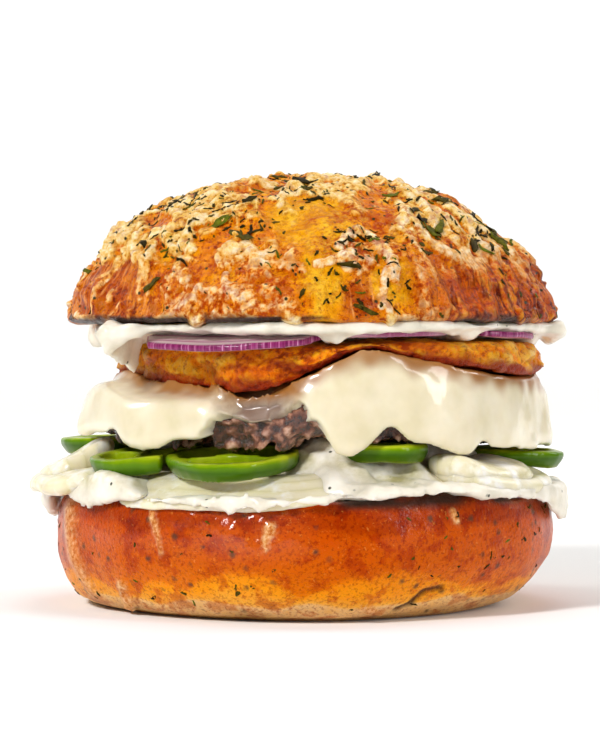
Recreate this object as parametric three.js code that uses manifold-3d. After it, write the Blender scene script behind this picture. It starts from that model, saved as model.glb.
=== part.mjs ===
// A tall hamburger, stacked piece by piece from the heel of its bun up to the crown.
// Millimetres, +Z up, -Y is the front. The origin is the middle of the flat underside.
// An angle is in degrees round the burger, 0 at the front and 90 at +X.
import * as THREE from "three";
import { mergeVertices } from "three/addons/utils/BufferGeometryUtils.js";
import { ImprovedNoise } from "three/addons/math/ImprovedNoise.js";
import Module from "manifold-3d";

const solids = await Module();
solids.setup();
const perlin = new ImprovedNoise();
const { degToRad, radToDeg, euclideanModulo, lerp, smoothstep } = THREE.MathUtils;

// Driving dimensions
const GAP = 0.35;
const SMALLEST_EDGE = 0.04;
const FOOT_RADIUS = 41.5;
const BUN_RADIUS = 57.2;
const HEEL_HEIGHT = 26.6;
const HEEL_DISH = 1.0;
const SAUCE_THICKNESS = 2.1;
const SAUCE_MOUND = 8.6;
const WHITE_ONION_THICKNESS = 1.9;
const RED_ONION_THICKNESS = 1.5;
const PEPPER_THICKNESS = 4.0;
const PATTY_BOTTOM = 38.9;
const PATTY_RADIUS = 49.6;
const PATTY_MIDDLE_TOP = 51.5;
const PATTY_RIM_HEIGHT = 45.8;
const CHEESE_THICKNESS = 1.8;
const CHEESE_EDGE_HEIGHT = 41.8;
const FILLET_RADIUS = 48.6;
const FILLET_TOP = 60.5;
const UPPER_SAUCE_RADIUS = 50.5;
const CROWN_BOTTOM = 63.8;
const CROWN_TOP = 96.8;
const CROWN_RADIUS = 56.2;
const CROWN_LEAN = -1.6;
const DOME_BEND = 36;

// Each mound, dip or drip is centred on the angle `at`, is `wide` degrees to either side, and adds `by` millimetres.
const HEEL_FOOT = [
  { at: -90, wide: 42, by: 5.2 },
  { at: 0, wide: 34, by: 2.4 },
  { at: 175, wide: 50, by: 2.2 },
];
const HEEL_RIM = [
  { at: -20, wide: 26, by: -0.6 },
  { at: 28, wide: 16, by: 1.3 },
  { at: 62, wide: 18, by: -0.8 },
  { at: 165, wide: 40, by: -0.7 },
];
const LOWER_SAUCE_SHOULDER = [
  { at: -88, wide: 26, by: 1.3 },
  { at: 60, wide: 18, by: 0.5 },
  { at: 18, wide: 16, by: -1.2 },
];
const LOWER_SAUCE_REACH = [
  { at: -96, wide: 14, by: 0.6 },
  { at: 150, wide: 20, by: 1.0 },
];
const LOWER_SAUCE_DRIPS = [
  { at: -99, wide: 11, by: 6.3 },
  { at: -57, wide: 10, by: 2.2 },
  { at: -14, wide: 11, by: 2.0 },
  { at: 78, wide: 12, by: 6.2 },
  { at: 128, wide: 10, by: 3.4 },
  { at: 175, wide: 12, by: 4.4 },
  { at: -142, wide: 10, by: 3.0 },
];
const PATTY_RIM = [
  { at: 12, wide: 15, by: 8.2 },
  { at: 40, wide: 24, by: 4.9 },
  { at: 77, wide: 20, by: 2.3 },
  { at: -74, wide: 15, by: 2.6 },
  { at: 120, wide: 34, by: 3.4 },
  { at: 190, wide: 34, by: 4.4 },
];
const CHEESE_DRIPS = [
  { at: -80, wide: 14, by: 3.0 },
  { at: -46, wide: 11.5, by: 6.2 },
  { at: -28, wide: 6, by: 3.2 },
  { at: 8, wide: 6.6, by: 7.2 },
  { at: 26, wide: 6, by: 4.4 },
  { at: 38.5, wide: 7.6, by: 7.2 },
  { at: 55, wide: 5.2, by: 6.2 },
  { at: 67, wide: 7, by: 4.6 },
  { at: 87, wide: 12, by: 6.2 },
  { at: 118, wide: 9, by: 7.4 },
  { at: 152, wide: 9, by: 4.6 },
  { at: 186, wide: 10, by: 7.2 },
  { at: 224, wide: 9, by: 5.4 },
  { at: 252, wide: 8, by: 3.0 },
];
const CHEESE_FLARE = [
  { at: -86, wide: 22, by: 2.6 },
  { at: 88, wide: 13, by: 2.0 },
  { at: 186, wide: 20, by: 1.4 },
];
const FILLET_EDGE_DROOP = [
  { at: -28, wide: 36, by: 2.8 },
  { at: 36, wide: 26, by: 0.3 },
  { at: 92, wide: 20, by: 1.8 },
  { at: 200, wide: 50, by: 2.2 },
];
const UPPER_SAUCE_REACH = [
  { at: -28, wide: 24, by: -1.6 },
  { at: 82, wide: 12, by: 3.6 },
  { at: 30, wide: 20, by: 1.4 },
];
const UPPER_SAUCE_DRIPS = [
  { at: -74, wide: 13, by: 6.6 },
  { at: -55, wide: 7, by: 9.0 },
  { at: -106, wide: 9, by: 4.6 },
  { at: 90, wide: 9, by: 2.2 },
  { at: 140, wide: 12, by: 4.2 },
  { at: 200, wide: 10, by: 3.0 },
];

// The pieces that lie off the bun's own axis
const PATTY_CENTRE = [2, 0];
const FILLET_CENTRE = [6, -1];
const CROWN_CENTRE = [1.3, 0];

// Onion slices: an arc of `span` degrees round the burger from `inner` to `outer` millimetres. The slices of
// tier 1 lie on those of tier 0, and `tilt` lifts the inner edge of one that is propped up.
const WHITE_ONIONS = [
  { name: "white_onion_front", at: -22, span: 62, inner: 40, outer: 57.2, tier: 0, tilt: 0 },
  { name: "white_onion_right_low", at: 57, span: 42, inner: 41, outer: 58.2, tier: 0, tilt: 0 },
  { name: "white_onion_right_high", at: 51, span: 32, inner: 42, outer: 56.6, tier: 1, tilt: 0 },
  { name: "white_onion_left_low", at: -86, span: 56, inner: 42, outer: 62.6, tier: 0, tilt: 0.7 },
  { name: "white_onion_left_high", at: -81, span: 22, inner: 45, outer: 60.8, tier: 1, tilt: 4.4 },
  { name: "white_onion_back", at: 172, span: 74, inner: 39, outer: 58.2, tier: 0, tilt: 0 },
];
const RED_ONIONS = [
  { name: "red_onion_front_left", at: -21, span: 50, inner: 34, outer: 54.0 },
  { name: "red_onion_front", at: 24, span: 36, inner: 36, outer: 50.6 },
  { name: "red_onion_right", at: 62, span: 32, inner: 36, outer: 54.2 },
  { name: "red_onion_back_right", at: 140, span: 66, inner: 34, outer: 51 },
  { name: "red_onion_back_left", at: 216, span: 72, inner: 34, outer: 49.5 },
];

// Pepper rings: the middle of each, its radius, how far it leans outwards and what it lies on
const PEPPER_RINGS = [
  { name: "pepper_ring_front", x: -16, y: -39.6, radius: 14.4, lean: 7, tier: 0, turn: 20 },
  { name: "pepper_ring_front_left", x: -34.6, y: -26, radius: 13, lean: 8, tier: 0, turn: 75 },
  { name: "pepper_ring_front_right", x: 16, y: -37.6, radius: 10.2, lean: 2, tier: 0.4, turn: 50 },
  { name: "pepper_ring_right", x: 45.4, y: -2.4, radius: 13, lean: 3, tier: 0, turn: 0 },
  { name: "pepper_ring_left", x: -44.5, y: 16, radius: 13, lean: 2, tier: 1, turn: 35 },
  { name: "pepper_ring_back_right", x: 27, y: 35, radius: 13.2, lean: 6, tier: 0, turn: 10 },
  { name: "pepper_ring_back_left", x: -20, y: 39, radius: 12.4, lean: 6, tier: 0, turn: 95 },
];
const PEPPER_WALL = 2.7;
const PEPPER_CORE = 2.6;
const PEPPER_RIB = 1.5;

// The lumpy crust of the crown, with herb leaves and melted shreds of cheese baked onto it
const LUMP_SIZE = 9;
const LUMP_DEPTH = 1.5;
const LEAF_COUNT = 36;
const LEAF_LENGTH = [3.2, 6.6];
const SHRED_COUNT = 11;
const SHRED_LENGTH = [9, 17];

// Curves and surfaces

function turnTo(angle, at) {
  return euclideanModulo(angle - at + 180, 360) - 180;
}

function bump(angle, at, wide) {
  return Math.exp(-((turnTo(angle, at) / wide) ** 2));
}

function sum(list, angle) {
  return list.reduce((total, { at, wide, by }) => total + by * bump(angle, at, wide), 0);
}

function angleOf(x, y) {
  return radToDeg(Math.atan2(x, -y));
}

// An uneven outline: a few slow waves round a circle, `depth` millimetres deep
function waver(angle, depth, turn) {
  const a = degToRad(angle + turn);
  return depth * (0.5 * Math.sin(2 * a) + 0.35 * Math.sin(3 * a + 1) + 0.3 * Math.sin(5 * a + 2));
}

function heelRim(angle) {
  return HEEL_HEIGHT + sum(HEEL_RIM, angle) + waver(angle, 0.35, 40);
}

function heelTop(x, y) {
  const level = smoothstep(Math.hypot(x, y), 20, 53);
  return lerp(HEEL_HEIGHT - HEEL_DISH, heelRim(angleOf(x, y)), level);
}

// Piled up in the middle, where the patty rests on it, and rounded off towards the rim
function lowerSauceTop(x, y) {
  const r = Math.hypot(x, y);
  const mound = SAUCE_MOUND * (1 - smoothstep(r, 10, 27));
  const shoulder = (1.3 + sum(LOWER_SAUCE_SHOULDER, angleOf(x, y))) * smoothstep(r, 46, 57);
  return heelTop(x, y) + GAP + SAUCE_THICKNESS + mound - shoulder;
}

function onionTierBottom(x, y, tier) {
  return lowerSauceTop(x, y) + GAP + tier * (WHITE_ONION_THICKNESS + GAP);
}

function pattyReach(angle) {
  return PATTY_RADIUS + waver(angle, 1.3, 110);
}

function pattyRim(angle) {
  return PATTY_RIM_HEIGHT + sum(PATTY_RIM, angle);
}

function pattyTop(x, y) {
  const dx = x - PATTY_CENTRE[0];
  const dy = y - PATTY_CENTRE[1];
  const share = Math.min(Math.hypot(dx, dy) / PATTY_RADIUS, 1);
  return lerp(PATTY_MIDDLE_TOP, pattyRim(angleOf(dx, dy)), share * share);
}

function cheeseTop(x, y) {
  return pattyTop(x, y) + GAP + CHEESE_THICKNESS;
}

// Flat-ended drips with steep sides
function cheeseEdge(angle) {
  const drop = CHEESE_DRIPS.map(({ at, wide, by }) => by * Math.exp(-((turnTo(angle, at) / wide) ** 4)));
  return CHEESE_EDGE_HEIGHT - drop.reduce((total, each) => total + each, 0);
}

function filletReach(angle) {
  return FILLET_RADIUS + waver(angle, 1.8, 15) + 0.7 * Math.sin(degToRad(11 * angle));
}

function filletTop(x, y) {
  const droop = sum(FILLET_EDGE_DROOP, angleOf(x, y)) * smoothstep(Math.hypot(x, y), 32, 54);
  return FILLET_TOP - droop;
}

// How far out the red onion reaches at an angle, or 0 where there is none
function redOnionReach(angle) {
  const over = RED_ONIONS.filter(({ at, span }) => Math.abs(turnTo(angle, at)) < span / 2 + 4);
  return Math.max(0, ...over.map(({ outer }) => outer));
}

function upperSauceBottom(x, y) {
  return filletTop(x, y) + 2 * GAP + RED_ONION_THICKNESS;
}

// Solids

// A solid turned about a vertical axis, uneven all round: outline(angle) gives the radius and height of each
// point of its half-section, from the axis underneath it to the axis on top.
function turned(segments, outline, centre = [0, 0]) {
  const rows = outline(0).length;
  const profile = Array.from({ length: rows }, (_, row) => new THREE.Vector2(1, row));
  const geometry = new THREE.LatheGeometry(profile, segments);
  const position = geometry.getAttribute("position");
  for (let segment = 0; segment <= segments; segment++) {
    const angle = (360 * (segment % segments)) / segments;
    const along = degToRad(angle);
    outline(angle).forEach(([radius, height], row) => {
      const x = centre[0] + radius * Math.sin(along);
      const y = centre[1] - radius * Math.cos(along);
      position.setXYZ(segment * rows + row, x, y, height);
    });
  }
  return closed(geometry);
}

// The same surface with its shared vertices merged
function closed(geometry) {
  geometry.deleteAttribute("normal");
  geometry.deleteAttribute("uv");
  return mergeVertices(geometry, 1e-3);
}

// Moves each vertex along its normal: `depth` says how far in and out at that point
function roughen(geometry, size, depth) {
  geometry.computeVertexNormals();
  const position = geometry.getAttribute("position");
  const normal = geometry.getAttribute("normal");
  const point = new THREE.Vector3();
  const out = new THREE.Vector3();
  for (let i = 0; i < position.count; i++) {
    point.fromBufferAttribute(position, i);
    out.fromBufferAttribute(normal, i);
    const wave = perlin.noise(point.x / size, point.y / size, point.z / size);
    point.addScaledVector(out, depth(wave, point, out));
    position.setXYZ(i, point.x, point.y, point.z);
  }
  geometry.deleteAttribute("normal");
  return geometry;
}

// A curved slice of even thickness that lies on the surface base(x, y, share), narrowing to its ends, where the
// share is 0 at its inner edge and 1 at its outer one
function slice({ at, span, inner, outer }, thickness, base) {
  const geometry = new THREE.BoxGeometry(1, 1, 1, 11, 2, 1);
  const position = geometry.getAttribute("position");
  const middle = (inner + outer) / 2;
  for (let i = 0; i < position.count; i++) {
    const along = 2 * position.getX(i);
    const across = 2 * position.getY(i);
    const taper = Math.sqrt(1 - 0.82 * along ** 4);
    const radius = middle + (across * taper * (outer - inner)) / 2;
    const angle = degToRad(at + (along * span) / 2);
    const x = radius * Math.sin(angle);
    const y = -radius * Math.cos(angle);
    const share = (radius - inner) / (outer - inner);
    position.setXYZ(i, x, y, base(x, y, share) + (position.getZ(i) + 0.5) * thickness);
  }
  // The box's own axes run round and inwards here, so its faces are turned about
  return flipped(closed(geometry));
}

function flipped(geometry) {
  const index = geometry.getIndex().array;
  for (let i = 0; i < index.length; i += 3) [index[i + 1], index[i + 2]] = [index[i + 2], index[i + 1]];
  return geometry;
}

function toSolid(geometry) {
  const merged = geometry.hasAttribute("uv") ? closed(geometry) : geometry;
  const mesh = new solids.Mesh({
    numProp: 3,
    vertProperties: new Float32Array(merged.getAttribute("position").array),
    triVerts: new Uint32Array(merged.getIndex().array),
  });
  return new solids.Manifold(mesh);
}

// The largest body of a solid, without loose scraps, and with any sealed hollow filled
function toGeometry(solid) {
  const [largest] = solid.decompose().sort((a, b) => b.volume() - a.volume());
  const mesh = largest.simplify(SMALLEST_EDGE).getMesh();
  const geometry = new THREE.BufferGeometry();
  geometry.setAttribute("position", new THREE.BufferAttribute(mesh.vertProperties, mesh.numProp));
  geometry.setIndex(new THREE.BufferAttribute(mesh.triVerts, 1));
  return geometry;
}

// A mesh of its own named node
function piece(name, geometry, material) {
  const mesh = new THREE.Mesh(geometry, material);
  mesh.name = name;
  return mesh;
}

function finish(colour, roughness) {
  return new THREE.MeshStandardMaterial({ color: colour, roughness, metalness: 0 });
}

const CRUST = finish(0xc4701f, 0.45);
const CREAM_SAUCE = finish(0xf3efdf, 0.3);
const WHITE_ONION = finish(0xe9e2cf, 0.35);
const RED_ONION = finish(0xa8708f, 0.35);
const PEPPER = finish(0x5c8f14, 0.25);
const BEEF = finish(0x4a2c20, 0.6);
const MELTED_CHEESE = finish(0xf0e3b8, 0.3);
const BATTER = finish(0xc9661a, 0.5);

// The heel: a flat foot, a rounded crust and a slightly dished cut face
function heel() {
  const outline = (angle) => {
    const rim = heelRim(angle);
    const swell = waver(angle, 0.9, 0);
    const spread = sum(HEEL_FOOT, angle);
    const foot = FOOT_RADIUS + spread;
    const a = degToRad(angle);
    const top = (r) => heelTop(r * Math.sin(a), -r * Math.cos(a));
    return [
      [0, 0],
      [foot / 2, 0],
      [foot, 0],
      [foot + 6, 1.9],
      [52.4 + 0.55 * spread + swell * 0.8, 6.2],
      [56.0 + 0.25 * spread + swell, 12.0],
      [BUN_RADIUS + swell, 18.0],
      [BUN_RADIUS - 0.7 + swell, rim - 3.2],
      [BUN_RADIUS - 2.2 + swell, rim],
      [50, top(50)],
      [28, top(28)],
      [0, top(0)],
    ];
  };
  const crust = turned(54, outline);
  const level = (point) => smoothstep(point.z, 1, 8) * (1 - smoothstep(point.z, HEEL_HEIGHT - 6, HEEL_HEIGHT - 3));
  return piece("bun_heel", roughen(crust, 13, (wave, point) => wave * 0.9 * level(point)), CRUST);
}

// Spread over the heel's cut face, with a lip that sags over the rim where there is most of it
function lowerSauce() {
  const outline = (angle) => {
    const rim = heelRim(angle);
    const swell = waver(angle, 0.9, 0);
    const drop = 0.7 + sum(LOWER_SAUCE_DRIPS, angle);
    const heavy = smoothstep(drop, 1.5, 6);
    const wall = BUN_RADIUS + swell + GAP + 0.35;
    const out = 1.1 + 1.6 * heavy + sum(LOWER_SAUCE_REACH, angle);
    const low = rim - drop;
    const a = degToRad(angle);
    const top = (r) => lowerSauceTop(r * Math.sin(a), -r * Math.cos(a));
    const bed = (r) => heelTop(r * Math.sin(a), -r * Math.cos(a)) + GAP;
    return [
      [0, bed(0)],
      [28, bed(28)],
      [48, bed(48)],
      [wall - 1.5, rim + GAP],
      [wall, lerp(rim, low, 0.35)],
      [wall + 0.3, low],
      [wall + out * 0.55, low - 0.5 * heavy - 0.2],
      [wall + out, lerp(low, rim, 0.3) + 0.3],
      [wall + out * 0.8, rim + 0.2 - 1.4 * heavy],
      [wall - 0.6, Math.min(top(57), rim + 1.4)],
      [53, top(53)],
      [48, top(48)],
      [27, top(27)],
      [15, top(15)],
      [0, top(0)],
    ];
  };
  return piece("lower_sauce", turned(58, outline), CREAM_SAUCE);
}

function whiteOnions() {
  return WHITE_ONIONS.map((onion) => {
    const base = (x, y, share) => onionTierBottom(x, y, onion.tier) + onion.tilt * (1 - share);
    return piece(onion.name, slice(onion, WHITE_ONION_THICKNESS, base), WHITE_ONION);
  });
}

// The section of one pepper ring: a lobed wall, and ribs from a small core that part it into three chambers
function pepperSection(radius) {
  const lobed = (r, a) => r * (1 + 0.035 * Math.cos(3 * a));
  const onCircle = (r, a) => new THREE.Vector2(lobed(r, a) * Math.cos(a), lobed(r, a) * Math.sin(a));
  const around = Array.from({ length: 24 }, (_, i) => onCircle(radius, (i / 24) * 2 * Math.PI));
  const shape = new THREE.Shape(around);
  const inside = radius - PEPPER_WALL;
  for (let lobe = 0; lobe < 3; lobe++) {
    const middle = (lobe * 2 * Math.PI) / 3;
    const outerHalf = Math.PI / 3 - PEPPER_RIB / 2 / inside;
    const innerHalf = Math.PI / 3 - PEPPER_RIB / 2 / PEPPER_CORE;
    const far = [-1, -0.6, -0.2, 0.2, 0.6, 1].map((t) => onCircle(inside, middle + t * outerHalf));
    const near = [1, -1].map((t) => onCircle(PEPPER_CORE, middle + t * innerHalf));
    shape.holes.push(new THREE.Path([...far, ...near]));
  }
  return shape;
}

// Cut across a green pepper, leaning outwards and lowered until it touches what it lies on
function pepperRing({ name, x, y, radius, lean, tier, turn }) {
  const geometry = new THREE.ExtrudeGeometry(pepperSection(radius), {
    depth: PEPPER_THICKNESS,
    bevelEnabled: false,
    curveSegments: 1,
  });
  const outwards = Math.atan2(y, x);
  geometry.rotateZ(degToRad(turn));
  geometry.applyMatrix4(new THREE.Matrix4().makeRotationAxis(
    new THREE.Vector3(-Math.sin(outwards), Math.cos(outwards), 0),
    degToRad(lean),
  ));
  geometry.translate(x, y, 0);
  const position = geometry.getAttribute("position");
  let lift = -Infinity;
  for (let i = 0; i < position.count; i++) {
    const bed = onionTierBottom(position.getX(i), position.getY(i), tier + 1);
    lift = Math.max(lift, bed - position.getZ(i));
  }
  geometry.translate(0, 0, lift);
  return piece(name, closed(geometry), PEPPER);
}

function pepperRings() {
  const rings = PEPPER_RINGS.map(pepperRing);
  // The front ring overlaps the one to its left, which is cut clear of it
  const [front, left] = rings;
  const cutter = new THREE.CylinderGeometry(1, 1, 40, 36);
  const { x, y, radius } = PEPPER_RINGS[0];
  cutter.scale(radius + 0.9, 1, radius + 0.9);
  cutter.rotateX(Math.PI / 2);
  cutter.translate(x, y, PATTY_BOTTOM);
  left.geometry = toGeometry(toSolid(left.geometry).subtract(toSolid(cutter)));
  return [front, left, ...rings.slice(2)];
}

// Coarse ground beef, its crumbly side cut back from an even edge
function patty() {
  const outline = (angle) => {
    const reach = pattyReach(angle);
    const a = degToRad(angle);
    const top = (r) => pattyTop(PATTY_CENTRE[0] + r * Math.sin(a), PATTY_CENTRE[1] - r * Math.cos(a));
    return [
      [0, PATTY_BOTTOM],
      [28, PATTY_BOTTOM],
      [reach - 3, PATTY_BOTTOM],
      [reach - 0.5, PATTY_BOTTOM + 1.8],
      [reach, PATTY_BOTTOM + 4.4],
      [reach - 0.4, top(reach) - 2.6],
      [reach - 2.4, top(reach) - 0.6],
      [reach - 7, top(reach - 7)],
      [26, top(26)],
      [0, top(0)],
    ];
  };
  const crumble = (wave, point, out) => (Math.abs(out.z) < 0.75 ? 1.5 * (wave - 0.55) : 0);
  return piece("beef_patty", roughen(turned(40, outline, PATTY_CENTRE), 4.5, crumble), BEEF);
}

// Melted over the patty: a skin on top and long soft drips down the side
function meltedCheese() {
  const outline = (angle) => {
    const reach = pattyReach(angle) + GAP + 0.15;
    const edge = cheeseEdge(angle);
    const flare = sum(CHEESE_FLARE, angle);
    const heavy = smoothstep(CHEESE_EDGE_HEIGHT - edge, 2, 7);
    const thick = CHEESE_THICKNESS + 0.7 * heavy;
    const a = degToRad(angle);
    const top = (r) => pattyTop(PATTY_CENTRE[0] + r * Math.sin(a), PATTY_CENTRE[1] - r * Math.cos(a)) + GAP;
    const shoulder = top(reach) - 2.2;
    return [
      [0, top(0)],
      [26, top(26)],
      [reach - 7, top(reach - 7) + 0.1],
      [reach - 1.6, top(reach) - 0.3],
      [reach, shoulder],
      [reach + 0.2 + 0.8 * flare, edge + 0.4],
      [reach + thick * 0.55 + flare, edge - 0.5],
      [reach + thick + 0.3 * heavy + flare, edge + 1.6],
      [reach + thick + 0.2 * flare, shoulder],
      [reach + thick * 0.7, top(reach) + 0.5],
      [reach - 0.6, top(reach) + CHEESE_THICKNESS - 0.1],
      [reach - 7, top(reach - 7) + CHEESE_THICKNESS],
      [26, top(26) + CHEESE_THICKNESS],
      [0, top(0) + CHEESE_THICKNESS],
    ];
  };
  return piece("melted_cheese", turned(80, outline, PATTY_CENTRE), MELTED_CHEESE);
}

// A battered and fried fillet that sags with the cheese under it, craggy all round its edge
function friedFillet() {
  const outline = (angle) => {
    const reach = filletReach(angle);
    const a = degToRad(angle);
    const at = (r) => [FILLET_CENTRE[0] + r * Math.sin(a), FILLET_CENTRE[1] - r * Math.cos(a)];
    const low = (r) => cheeseTop(...at(r)) + GAP + 0.25;
    const high = (r) => filletTop(...at(r));
    return [
      [0, low(0)],
      [22, low(22)],
      [40, low(40)],
      [reach - 1.2, low(reach)],
      [reach + 0.3, lerp(low(reach), high(reach), 0.3)],
      [reach, lerp(low(reach), high(reach), 0.7)],
      [reach - 2.2, high(reach - 2.2) - 0.2],
      [38, high(38)],
      [20, high(20)],
      [0, high(0)],
    ];
  };
  const crags = (wave, point, out) => (Math.abs(out.z) < 0.8 ? 2.0 * wave - 0.2 : 0);
  return piece("fried_fillet", roughen(turned(60, outline, FILLET_CENTRE), 5.2, crags), BATTER);
}

function redOnions() {
  return RED_ONIONS.map((onion) => {
    const base = (x, y) => filletTop(x, y) + GAP;
    return piece(onion.name, slice(onion, RED_ONION_THICKNESS, base), RED_ONION);
  });
}

// Under the crown: a thin even layer, thick lobes of which run down beside the fillet
function upperSauce() {
  const ceiling = CROWN_BOTTOM - GAP;
  const outline = (angle) => {
    const a = degToRad(angle);
    const offset = FILLET_CENTRE[0] * Math.sin(a) - FILLET_CENTRE[1] * Math.cos(a);
    const drop = sum(UPPER_SAUCE_DRIPS, angle);
    const heavy = smoothstep(drop, 0.6, 5);
    const beside = Math.max(filletReach(angle) + offset + 1.6, redOnionReach(angle) + 1.2);
    const wall = lerp(UPPER_SAUCE_RADIUS + sum(UPPER_SAUCE_REACH, angle), beside, smoothstep(drop, 0.02, 0.3));
    const out = 2.6 + 1.4 * heavy;
    const bed = (r) => upperSauceBottom(r * Math.sin(a), -r * Math.cos(a));
    const lip = Math.min(bed(wall), ceiling - 1.0);
    const low = Math.max(lip - drop, cheeseTop(wall * Math.sin(a), -wall * Math.cos(a)) + 2 * GAP);
    return [
      [0, bed(0)],
      [31, bed(31)],
      [38, bed(38)],
      [44, bed(44)],
      [wall - 0.9, Math.max(bed(wall - 0.9), lip) + 0.2],
      [wall, lerp(lip, low, 0.5)],
      [wall + out * 0.3, low - 0.1],
      [wall + out * 0.8, lerp(low, ceiling, 0.12)],
      [wall + out, lerp(low, ceiling, 0.5)],
      [wall + out * 0.8, ceiling - 0.35],
      [wall - 1, ceiling],
      [0, ceiling],
    ];
  };
  return piece("upper_sauce", turned(66, outline), CREAM_SAUCE);
}

// The crown's half-section, from its cut face up over the dome
function crownOutline(angle) {
  const swell = waver(angle, 0.8, 70);
  const lean = CROWN_LEAN * Math.max(0, Math.sin(degToRad(angle)));
  const dome = new THREE.SplineCurve([
    new THREE.Vector2(CROWN_RADIUS - 0.9, CROWN_BOTTOM + 2.4),
    new THREE.Vector2(52.6, CROWN_BOTTOM + 9.4),
    new THREE.Vector2(44.7, CROWN_BOTTOM + 19.2),
    new THREE.Vector2(32.6, CROWN_BOTTOM + 27.2),
    new THREE.Vector2(17, CROWN_TOP - 1.3),
    new THREE.Vector2(0, CROWN_TOP - 0.2),
  ]);
  return [
    [0, CROWN_BOTTOM],
    [28, CROWN_BOTTOM],
    [CROWN_RADIUS - 2.2 + swell, CROWN_BOTTOM],
    [CROWN_RADIUS + swell, CROWN_BOTTOM + 0.9],
    ...dome.getPoints(10).map(({ x, y }) => {
      const share = (y - CROWN_BOTTOM) / (CROWN_TOP - CROWN_BOTTOM);
      const leaning = lean * Math.sin(Math.PI * share);
      return [x + (swell + leaning) * Math.min(1, x / 40), y];
    }),
  ];
}

// Numbers that look random but are the same every time
function seeded(seed) {
  let state = seed;
  return (low, high) => {
    state = (state * 1664525 + 1013904223) % 4294967296;
    return low + ((high - low) * state) / 4294967296;
  };
}

// Places on the dome, spread evenly by the golden angle: each is a point on the crust with its own upright axis
function domePlaces(count, lowest, random) {
  const golden = 180 * (3 - Math.sqrt(5));
  return Array.from({ length: count }, (_, i) => {
    const share = Math.sqrt((i + 0.5) / count);
    const angle = i * golden + random(-9, 9);
    const outline = crownOutline(angle);
    const dome = new THREE.SplineCurve(outline.slice(4).map(([r, z]) => new THREE.Vector2(r, z)));
    const t = 1 - share * lowest;
    const { x: radius, y: height } = dome.getPoint(t);
    const tangent = dome.getTangent(t);
    const a = degToRad(angle);
    const outwards = new THREE.Vector3(Math.sin(a), -Math.cos(a), 0);
    const point = outwards.clone().multiplyScalar(radius).add(new THREE.Vector3(...CROWN_CENTRE, height));
    const up = outwards.multiplyScalar(tangent.y).add(new THREE.Vector3(0, 0, -tangent.x)).normalize();
    return { point, up };
  });
}

// Lays a small shape, drawn flat about the origin, on the crust and bends it to the dome, with its long side
// `turn` degrees from downhill
function layOn({ point, up }, geometry, turn, sink) {
  const side = new THREE.Vector3(0, 0, 1).cross(up).normalize();
  const downhill = side.clone().cross(up);
  const lift = crustLift(perlin.noise(...point.clone().divideScalar(LUMP_SIZE)), point) - sink;
  const position = geometry.getAttribute("position");
  for (let i = 0; i < position.count; i++) {
    const bend = (position.getX(i) ** 2 + position.getY(i) ** 2) / (2 * DOME_BEND);
    position.setZ(i, position.getZ(i) - bend);
  }
  const frame = new THREE.Matrix4().makeBasis(downhill, side, up);
  frame.setPosition(point.clone().addScaledVector(up, lift));
  return geometry.rotateZ(degToRad(turn)).applyMatrix4(frame);
}

// How far the crust stands out of the even dome
function crustLift(wave, point) {
  const above = smoothstep(point.z, CROWN_BOTTOM + 1.5, CROWN_BOTTOM + 6);
  return above * (LUMP_DEPTH * wave + 0.15);
}

function crown() {
  const random = seeded(7);
  const crust = roughen(turned(50, crownOutline, CROWN_CENTRE), LUMP_SIZE, crustLift);
  const leaves = domePlaces(LEAF_COUNT, 0.93, random).map((place) => {
    const leaf = new THREE.CylinderGeometry(1, 0.8, 1.9, 6).rotateX(Math.PI / 2);
    const length = random(...LEAF_LENGTH);
    leaf.scale(length / 2, length * random(0.17, 0.27), 1);
    return layOn(place, leaf, random(0, 180), 0.25);
  });
  const shreds = domePlaces(SHRED_COUNT, 0.86, random).map((place) => {
    const shred = new THREE.SphereGeometry(1, 6, 4).rotateY(Math.PI / 2);
    shred.scale(random(...SHRED_LENGTH) / 2, random(1.3, 1.9), 1.7);
    return layOn(place, shred, random(-35, 35), 0.5);
  });
  const whole = solids.Manifold.union([crust, ...leaves, ...shreds].map(toSolid));
  return piece("bun_crown", toGeometry(whole), CRUST);
}

const burger = new THREE.Group();
burger.add(heel(), lowerSauce(), ...whiteOnions(), ...pepperRings(), patty(), meltedCheese());
burger.add(friedFillet(), ...redOnions(), upperSauce(), crown());

export default burger;
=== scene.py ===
"""A tall hamburger: beef patty, melted cheese, fried fillet, pepper, onion and sauce in a cheese-baked bun.

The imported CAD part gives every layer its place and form. Each section below turns one layer into the real
food: its relief, its colours and its gloss. Lengths are in metres, but reliefs, the sizes of patterns and the
tables of places are in millimetres. The photographed side faces -Y and +Z is up.
"""
import math

import bmesh
import bpy
import numpy as np
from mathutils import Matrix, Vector
from mathutils.bvhtree import BVHTree


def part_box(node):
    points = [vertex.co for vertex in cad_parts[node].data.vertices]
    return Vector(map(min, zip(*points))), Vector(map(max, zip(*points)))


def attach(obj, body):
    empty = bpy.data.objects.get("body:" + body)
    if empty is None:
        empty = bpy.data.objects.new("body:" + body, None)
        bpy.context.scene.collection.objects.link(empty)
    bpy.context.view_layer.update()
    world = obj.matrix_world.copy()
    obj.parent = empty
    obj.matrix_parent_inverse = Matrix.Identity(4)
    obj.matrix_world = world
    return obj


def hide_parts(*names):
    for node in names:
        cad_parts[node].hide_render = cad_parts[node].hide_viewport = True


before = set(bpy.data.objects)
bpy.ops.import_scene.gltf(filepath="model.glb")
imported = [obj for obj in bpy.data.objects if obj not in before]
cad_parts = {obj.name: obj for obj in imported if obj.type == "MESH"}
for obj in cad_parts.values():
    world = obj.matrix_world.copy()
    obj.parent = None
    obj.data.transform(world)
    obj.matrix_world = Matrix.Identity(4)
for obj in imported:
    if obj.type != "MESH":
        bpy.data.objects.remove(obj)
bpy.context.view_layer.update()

MM = 0.001

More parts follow.
